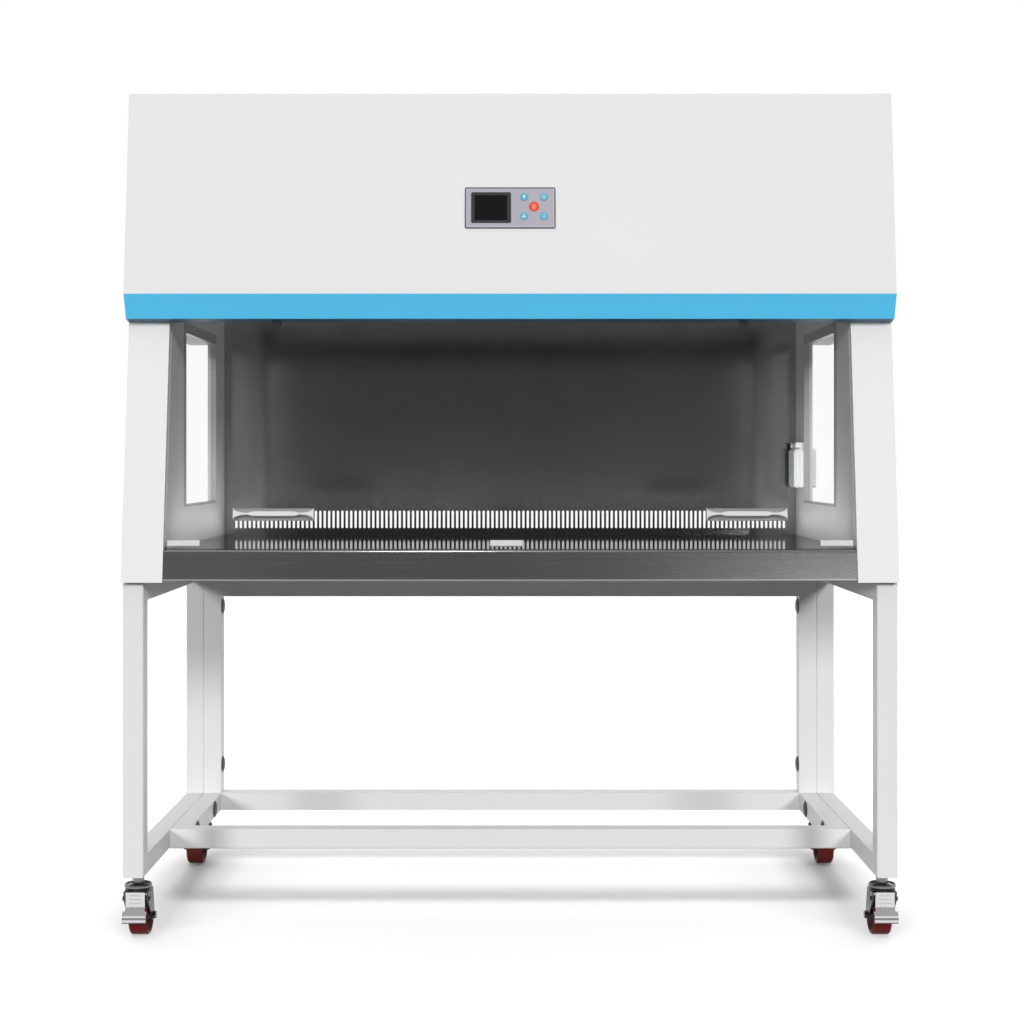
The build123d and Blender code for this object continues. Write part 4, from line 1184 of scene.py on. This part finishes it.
@dataclass
class Cabinet(Assembly):
    """The work area: paint, steel sheets, glass windows and the slotted rear wall."""

    slot_pitch: float = 10.35 * MM
    slot_width: float = 5.4 * MM
    slot_height: float = 41.3 * MM
    slot_centre: float = 791.7 * MM
    slot_count: int = 125
    slot_margin: float = 8.0 * MM
    end_steps: int = 6

    def dress(self) -> None:
        """Paint the shell, brush the sheets and glaze the windows."""
        white = PowderCoat("cabinet_white", srgb(232, 232, 232))
        self.wear(white, "pillar_*", "base_box")
        wall = BrushedSteel("wall_steel", grey(0.39), Grain.LEVEL, 0.13, 0.06, smear=0.3)
        self.wear(wall, "rear_wall")
        side = BrushedSteel("side_steel", grey(0.72), Grain.LEVEL, 0.4, smear=0.0, metal=0.35)
        self.wear(side, "side_panel_*")
        # the worktop's level top is made paler as a painted sheen
        top = BrushedSteel(
            "top_steel",
            grey(0.275),
            Grain.ACROSS,
            roughness=0.26,
            spread=0.10,
            smear=0.0,
            metal=0.94,
            level_polish_and_sheen=0.05,
            edge=0.05,
        )
        self.wear(top, "worktop")
        ceiling = BrushedSteel("ceiling_steel", grey(0.45), Grain.LEVEL, 0.4, metal=0.5)
        self.wear(ceiling, "ceiling_diffuser")
        trim = BrushedSteel("trim_steel", grey(0.40), Grain.LEVEL, 0.4, metal=0.2)
        self.wear(trim, "window_trims")
        low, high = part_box("window_panes")
        self.wear(
            Pane("window_glass", tuple(low), tuple(high), 0, 0.0, grey(1.0), mirror=0.02),
            "window_panes",
        )

    def rear_wall(self) -> None:
        """Make the rear wall with round-ended slots, in place of the square-ended one.

        The sheet is a grid of columns and three rows. In the middle row each column but the
        outer two holds a slot: two half circles, their centres a slot height less a width
        apart, joined to the column's four corners by fans of triangles.
        """
        low, high = (np.array(corner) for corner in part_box("rear_wall"))
        half_span = self.slot_count * self.slot_pitch / 2
        edges = np.linspace(-half_span, half_span, self.slot_count + 1)
        columns = np.concatenate([[low[0]], edges, [high[0]]])
        reach = self.slot_height / 2 + self.slot_margin
        rows = np.array([low[2], self.slot_centre - reach, self.slot_centre + reach, high[2]])
        grid_x, grid_z = np.meshgrid(columns, rows, indexing="ij")
        flat = np.stack([grid_x.ravel(), np.zeros(grid_x.size), grid_z.ravel()], axis=1)

        radius = self.slot_width / 2
        arc = np.linspace(0.0, math.pi, self.end_steps + 1)
        rise = self.slot_height / 2 - radius
        ring_x = radius * np.concatenate([np.cos(arc), np.cos(arc + math.pi)])
        ring_z = radius * np.concatenate([np.sin(arc), np.sin(arc + math.pi)])
        ring_z += np.concatenate([np.full(len(arc), rise), np.full(len(arc), -rise)])
        centres = (edges[:-1] + edges[1:]) / 2
        holes = np.stack(
            [
                (centres[:, None] + ring_x[None, :]).ravel(),
                np.zeros(self.slot_count * len(ring_x)),
                np.tile(ring_z + self.slot_centre, self.slot_count),
            ],
            axis=1,
        )
        sheet = np.concatenate([flat, holes])
        front, back = sheet.copy(), sheet.copy()
        front[:, 1], back[:, 1] = low[1], high[1]
        total = len(sheet)

        quads = grid_faces(len(columns), len(rows), False, False)
        cell = quads[:, 0]
        middle = (cell % len(rows) == 1) & (cell // len(rows) >= 1)
        middle &= cell // len(rows) <= self.slot_count
        whole = quads[~middle].tolist()

        steps, half, mid = len(ring_x), len(arc), self.end_steps // 2
        number = np.arange(self.slot_count)
        first = len(flat) + number * steps
        low_left = (number + 1) * len(rows) + 1
        low_right = low_left + len(rows)
        fans = [low_right + 1, low_left + 1, low_left, low_right]
        fans_and_sides, walls = [], []
        for step in range(steps):
            end, place = 2 * (step // half), step % half
            here, there = first + step, first + (step + 1) % steps
            if place == half - 1:
                corners = [fans[end + 1], fans[(end + 2) % 4], there, here]
            else:
                corners = [fans[end + (place >= mid)], there, here]
            fans_and_sides += np.stack(corners, axis=1).tolist()
            if place == mid:
                fans_and_sides += np.stack([fans[end], fans[end + 1], here], axis=1).tolist()
            walls += np.stack([here, there, there + total, here + total], axis=1).tolist()
        skin = whole + fans_and_sides

        count_x, count_z = len(columns), len(rows)
        round_x = np.arange(count_x) * count_z
        loop = np.concatenate(
            [
                round_x,
                round_x[-1] + np.arange(1, count_z),
                round_x[::-1][1:] + count_z - 1,
                np.arange(count_z - 2, 0, -1),
            ]
        )
        after = np.roll(loop, -1)
        walls += np.stack([loop, after, after + total, loop + total], axis=1).tolist()
        faces = skin + [[corner + total for corner in face] for face in skin] + walls
        shape = (np.concatenate([front, back]), faces)
        steel = self.wardrobe.coats["rear_wall"]
        wall = put("slotted_wall", shape, steel, Body.CABINET.value)
        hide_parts("rear_wall")

    def build(self) -> None:
        """Dress the nodes and make the rear wall."""
        self.dress()
        self.rear_wall()


@dataclass
class Head(Assembly):
    """The head over the work area, with its nose band and what is inside it."""

    def build(self) -> None:
        """Paint the casing and finish the air path, the lamps and the inlet."""
        self.wear(PowderCoat("head_white", srgb(229, 229, 230)), "head_shell", "head_front_panel")
        # the darker blue on what faces down is painted shade under the nose band
        blue = PowderCoat("nose_blue", (0.098, 0.60, 0.96), 0.36, under=srgb(18, 92, 132))
        self.wear(blue, "nose_trim")
        self.wear(Pleats("filter_pleats"), "hepa_filter")
        self.wear(Galvanised("zinc_sheet"), "plenum_box", "blower_housings")
        self.wear(Galvanised("motor_zinc", (0.30, 0.31, 0.32), 260.0), "blower_motors")
        self.wear(Moulded("fan_plastic", (0.03, 0.03, 0.032), 0.45), "impeller_*")
        self.wear(Fibre("fibre_mat"), "prefilter_pads")
        self.wear(LampGlass("tube_glass"), "lamp_tubes")
        self.wear(Moulded("holder_white", (0.78, 0.78, 0.76), 0.4), "lamp_holders")
        self.wear(CircuitBoard("laminate"), "control_board")
        self.wear(Moulded("inlet_black", (0.02, 0.02, 0.021), 0.5), "power_inlet")


@dataclass
class Panel(Assembly):
    """The control plate on the head front, with its buttons and their raised signs."""

    lean: float = math.atan2(48.5, 398.0)
    relief: float = 0.25 * MM
    stroke: float = 0.75 * MM
    arc_points: int = 28
    blue: Colour = srgb(100, 178, 208)
    orange: Colour = srgb(238, 92, 60)

    def __post_init__(self) -> None:
        """Work out the ways up the plate and away from it."""
        self.up, self.out = leaning(self.lean)

    def face_centre(self, node: str) -> np.ndarray:
        """The middle of a button's front face, from the vertices furthest out."""
        points = points_of(self.wardrobe.frame["nodes"][node])
        height = points @ self.out
        front = points[height > height.max() - 0.02 * MM]
        return (front.min(axis=0) + front.max(axis=0)) / 2

    def line(self, node: str, spots: Sequence) -> Shape:
        """A raised stroke along points given in the button's plane.

        A point of the stroke is the button's centre, plus the spot's two figures along X and
        up the slope, plus half the width square to the stroke.

        Args:
            node: The button.
            spots: Places in the plane, millimetres, n by 2.

        Returns:
            Vertices and faces.
        """
        places = MM * np.array(spots)
        path = self.face_centre(node) + places[:, :1] * ACROSS + places[:, 1:] * self.up
        along = np.gradient(path, axis=0)
        along /= np.linalg.norm(along, axis=1)[:, None]
        across = np.cross(along, self.out)
        half, relief = self.stroke / 2, self.relief
        profile = np.array([(-half, -relief), (half, -relief), (half, relief), (-half, relief)])
        return carry(profile, path, across, tuple(self.out))

    def arc(self, node: str, middle: tuple[float, float], radius: float, span: Sequence) -> Shape:
        """A raised arc, in millimetres, from one angle to another in degrees."""
        turn = np.radians(np.linspace(*span, self.arc_points))
        ring = np.stack([np.cos(turn), np.sin(turn)], axis=1)
        return self.line(node, np.array(middle) + radius * ring)

    def disc(self, node: str, middle: tuple[float, float], radius: float) -> Shape:
        """A raised round dot, in millimetres."""
        centre = self.face_centre(node) + MM * (middle[0] * ACROSS + middle[1] * self.up)
        radius, relief = radius * MM, self.relief
        profile = np.array([(0.0, -relief), (radius, -relief), (radius, relief), (0.0, relief)])
        return lathe(profile, tuple(centre), tuple(self.out), 20)

    def signs(self) -> None:
        """Raise a plain sign on each button: bulb, barred ring, fan, socket and power."""
        disc, line, arc = self.disc, self.line, self.arc
        turns = np.radians((90, 210, 330))
        blades = [(2.5 * math.cos(turn), 2.5 * math.sin(turn)) for turn in turns]
        signs = {
            "light_button": [
                (disc, (0.0, 1.1), 2.6),
                (line, [(-1.2, -2.3), (1.2, -2.3)]),
                (line, [(-0.9, -3.6), (0.9, -3.6)]),
            ],
            "uv_button": [
                (arc, (0.0, 0.0), 3.6, (0, 356)),
                (line, [(-1.6, 1.8), (1.6, -1.8)]),
            ],
            "fan_button": [(disc, (0.0, 0.0), 1.0)] + [(disc, blade, 1.5) for blade in blades],
            "socket_button": [
                (arc, (0.0, -1.2), 4.4, (32, 148)),
                (disc, (-1.3, -1.4), 0.8),
                (disc, (1.3, -1.4), 0.8),
            ],
            "power_button": [
                (arc, (0.0, 0.8), 2.9, (130, 410)),
                (line, [(0.0, 1.6), (0.0, 4.6)]),
                (line, [(-2.2, -4.6), (2.2, -4.6)]),
            ],
        }
        white = Moulded("sign_white", (0.80, 0.84, 0.86), 0.4, 2500.0, 0.02 * MM)
        for node, strokes in signs.items():
            shape = gather([make(node, *given) for make, *given in strokes])
            body = self.wardrobe.frame["nodes"][node]["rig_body"]
            put(node.replace("button", "sign"), shape, white, body)

    def build(self) -> None:
        """Finish the plate, the display and the buttons."""
        self.wear(Foil("panel_foil"), "control_plate")
        self.wear(Screen("display_case"), "display")
        blue = Moulded("button_blue", self.blue, 0.3, 2500.0, 0.02 * MM, coat=0.4)
        self.wear(blue, "light_button", "uv_button", "fan_button", "socket_button")
        orange = Moulded("button_orange", self.orange, 0.3, 2500.0, 0.02 * MM, coat=0.4)
        self.wear(orange, "power_button")
        self.signs()


@dataclass
class Sash(Assembly):
    """The sliding glass with its handles, pads, guides and stops."""

    lean: float = math.radians(8.14)
    half_length: float = 78.0 * MM
    half_height: float = 12.0 * MM
    plate: float = 3.0 * MM
    gap: float = 9.0 * MM
    bar_depth: float = 5.0 * MM
    bar_end: float = 40.0 * MM
    bar_half: float = 4.6 * MM
    neck_x: float = 50.0 * MM
    neck_half: float = 1.8 * MM
    bevel: float = 1.2 * MM
    seat: float = 0.5 * MM
    taper_steps: int = 8
    flare_steps: int = 22

    def spread(self, centre: np.ndarray, local: np.ndarray) -> np.ndarray:
        """Turn places in a handle's own frame into the row frame.

        A point is the handle's centre, plus its first figure along X, plus its second up the
        slope of the glass, plus its third out of the glass.
        """
        up, out = leaning(self.lean)
        return centre + local[..., :1] * ACROSS + local[..., 1:2] * up + local[..., 2:] * out

    def grip(self, centre: np.ndarray) -> Shape:
        """One pull: a bar that narrows to a neck at each end, then flares to the plate's height.

        Each station along X carries a six-cornered section. Its half height is the bar's up to
        the bar's end, falls in a straight line to the neck, then grows as the square root of a
        quarter circle's complement. Its back lies a finger's gap off the plate behind the bar
        and in the plate's face elsewhere.

        Args:
            centre: The middle of the plate's back, in the row frame.

        Returns:
            Vertices and faces.
        """
        flare = self.half_length - self.neck_x
        taper = np.linspace(self.bar_end, self.neck_x, self.taper_steps)
        curve = np.linspace(self.neck_x, self.half_length, self.flare_steps)[1:]
        right = np.concatenate([[0.0, self.bar_end - 0.3 * MM], taper, curve])
        along = np.concatenate([-right[::-1], right[1:]])
        reach = np.abs(along)
        share = np.clip((reach - self.neck_x) / flare, 0.0, 1.0)
        drop = np.clip((reach - self.bar_end) / (self.neck_x - self.bar_end), 0.0, 1.0)
        rise = (self.half_height - self.neck_half) * (1.0 - np.sqrt(1.0 - share**2))
        half = self.bar_half + (self.neck_half - self.bar_half) * drop + rise
        front = np.full_like(along, self.plate + self.gap + self.bar_depth)
        back = np.where(reach < self.bar_end, self.plate + self.gap, self.plate - self.seat)
        cut = np.minimum(self.bevel, 0.45 * half)
        section = [
            (-half, back),
            (-half, front - cut),
            (cut - half, front),
            (half - cut, front),
            (half, front - cut),
            (half, back),
        ]
        local = np.stack([np.stack([along, *pair], axis=1) for pair in section], axis=1)
        return loft(self.spread(centre, local))

    def back_plate(self, centre: np.ndarray) -> Shape:
        """One back plate: nested rectangles that rise to a rounded rim and sink to a shallow tray.

        Args:
            centre: The middle of the plate's back, in the row frame.

        Returns:
            Vertices and faces.
        """
        rings = np.array([(0.0, 0.0), (0.0, 2.4), (0.6, 3.0), (1.5, 3.0), (2.1, 2.2)]) * MM
        corners = np.array([(-1, -1), (1, -1), (1, 1), (-1, 1)])
        size = np.array([self.half_length, self.half_height]) - rings[:, :1]
        flat = corners[None, :, :] * size[:, None, :]
        depth = np.repeat(rings[:, None, 1:], len(corners), axis=1)
        return loft(self.spread(centre, np.concatenate([flat, depth], axis=2)))

    def handles(self) -> None:
        """Make both handles in place of the flat-sided ones, at the places the model gives."""
        points = points_of(self.wardrobe.frame["nodes"]["sash_handles"])
        up, out = leaning(self.lean)
        height, depth = points @ up, points @ out
        level = (height.min() + height.max()) / 2
        offset = np.abs(points[:, 0]).max() - self.half_length
        seat = level * up + depth.min() * out
        centres = [side * offset * ACROSS + seat for side in (-1, 1)]
        grain = Grain.ACROSS
        bright = BrushedSteel("grip_alloy", grey(0.80), grain, 0.3, 0.1, smear=0.0, metal=0.1)
        satin = BrushedSteel("plate_alloy", grey(0.38), grain, 0.36, 0.1, smear=0.0, metal=0.3)
        for name, make, finish in (
            ("handle_grips", self.grip, bright),
            ("handle_plates", self.back_plate, satin),
        ):
            shape = gather([make(centre) for centre in centres])
            piece = put(name, shape, finish, Body.SASH.value)
            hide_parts("sash_handles")

    def build(self) -> None:
        """Glaze the sash and finish what is on it."""
        low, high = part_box("sash_glass")
        rims, cut = (tuple(low), tuple(high)), (0.12, 0.14, 0.13)
        self.wear(Pane("sash_pane", *rims, rim=0.8 * MM, edge=cut, mirror=0.25), "sash_glass")
        alloy = BrushedSteel("handle_alloy", (0.55, 0.55, 0.56), Grain.ACROSS, 0.32, smear=0.0)
        self.wear(alloy, "sash_handles")
        self.wear(Moulded("pad_white", (0.64, 0.65, 0.64), 0.35), "sash_pads")
        guide = BrushedSteel("guide_alloy", (0.72, 0.72, 0.73), Grain.UPRIGHT, 0.3, metal=0.15)
        self.wear(guide, "sash_guide_*")
        self.wear(Moulded("stop_rubber", (0.02, 0.02, 0.02), 0.6), "sash_stops")
        self.handles()


@dataclass
class Socket(Assembly):
    """The socket on the right inner wall, its splash flap and its box behind the panel."""

    centre: tuple[float, float] = (288.0 * MM, 912.0 * MM)
    half: tuple[float, float] = (39.0 * MM, 45.0 * MM)
    cut: float = 5.0 * MM

    def back_box(self) -> None:
        """Make the box on the panel's outside, which shows through the window.

        Each ring is a rectangle in Y and Z with its corners cut, less the ring's inset; the
        rings rise along X from just inside the panel's face to the box's rounded back.
        """
        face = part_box("side_panel_right")[1][0]
        rings = np.array([(0.0, -0.5), (0.0, 6.5), (1.0, 8.6), (3.0, 9.4)]) * MM
        sign_y = np.array([-1, -1, 1, 1, 1, 1, -1, -1])
        sign_z = np.array([-1, -1, -1, -1, 1, 1, 1, 1])
        cut_y = self.cut * np.array([0, 1, 1, 0, 0, 1, 1, 0])
        reach_y = self.half[0] - rings[:, :1] - cut_y
        reach_z = self.half[1] - rings[:, :1] - (self.cut - cut_y)
        x = np.repeat(face + rings[:, 1:], 8, axis=1)
        points = np.stack(
            [x, self.centre[0] + sign_y * reach_y, self.centre[1] + sign_z * reach_z], axis=2
        )
        white = Moulded("box_white", (0.70, 0.70, 0.69), 0.4)
        put("socket_box", loft(points), white, Body.CABINET.value)

    def build(self) -> None:
        """Finish the plate and the half-clear flap, and make the box."""
        self.back_box()
        self.wear(Moulded("socket_white", (0.80, 0.80, 0.79), 0.3, coat=0.2), "socket_plate")
        clear = Moulded("flap_clear", (0.74, 0.76, 0.76), 0.22, glow=0.2, coat=0.5)
        self.wear(clear, "socket_flap")


@dataclass
class Stand(Assembly):
    """The welded tube stand and its bolt caps."""

    def build(self) -> None:
        """Paint the tubes and finish the caps."""
        tube = PowderCoat("stand_grey", srgb(226, 226, 227), 0.4)
        self.wear(tube, "side_frame_*", "inner_frame")
        self.wear(Moulded("cap_black", (0.022, 0.022, 0.024), 0.5), "bolt_caps")


@dataclass
class Casters(Assembly):
    """The four braked casters."""

    lip: float = 37.9 * MM

    def build(self) -> None:
        """Plate the metal and finish the wheels."""
        self.wear(Plated("zinc_grey", (0.22, 0.22, 0.225), 0.2), "caster_stems")
        self.wear(Plated("zinc_dark", (0.085, 0.085, 0.09), 0.26), "caster_fork_*")
        # the bead places the painted shade bands on the pedal's rolled lip
        self.wear(Plated("pedal_chrome", (0.68, 0.68, 0.69), 0.12, bead=self.lip), "caster_pedal_*")
        self.wear(Moulded("core_grey", (0.035, 0.034, 0.034), 0.4), "caster_wheel_*")
        self.wear(Urethane("tyre_red"), "caster_tyre_*")


def main() -> None:
    """Build and dress the hood piece by piece, and report each to the log."""
    logging.basicConfig(level=logging.INFO, format="%(name)s: %(message)s")
    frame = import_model()
    Studio().build(frame["nodes"])
    wardrobe = Wardrobe(frame)
    for assembly in (Cabinet, Head, Panel, Sash, Socket, Stand, Casters):
        assembly(wardrobe).build()
        LOG.info("%s dressed", assembly.__name__)
    wardrobe.check()


if __name__ == "__main__":
    main()
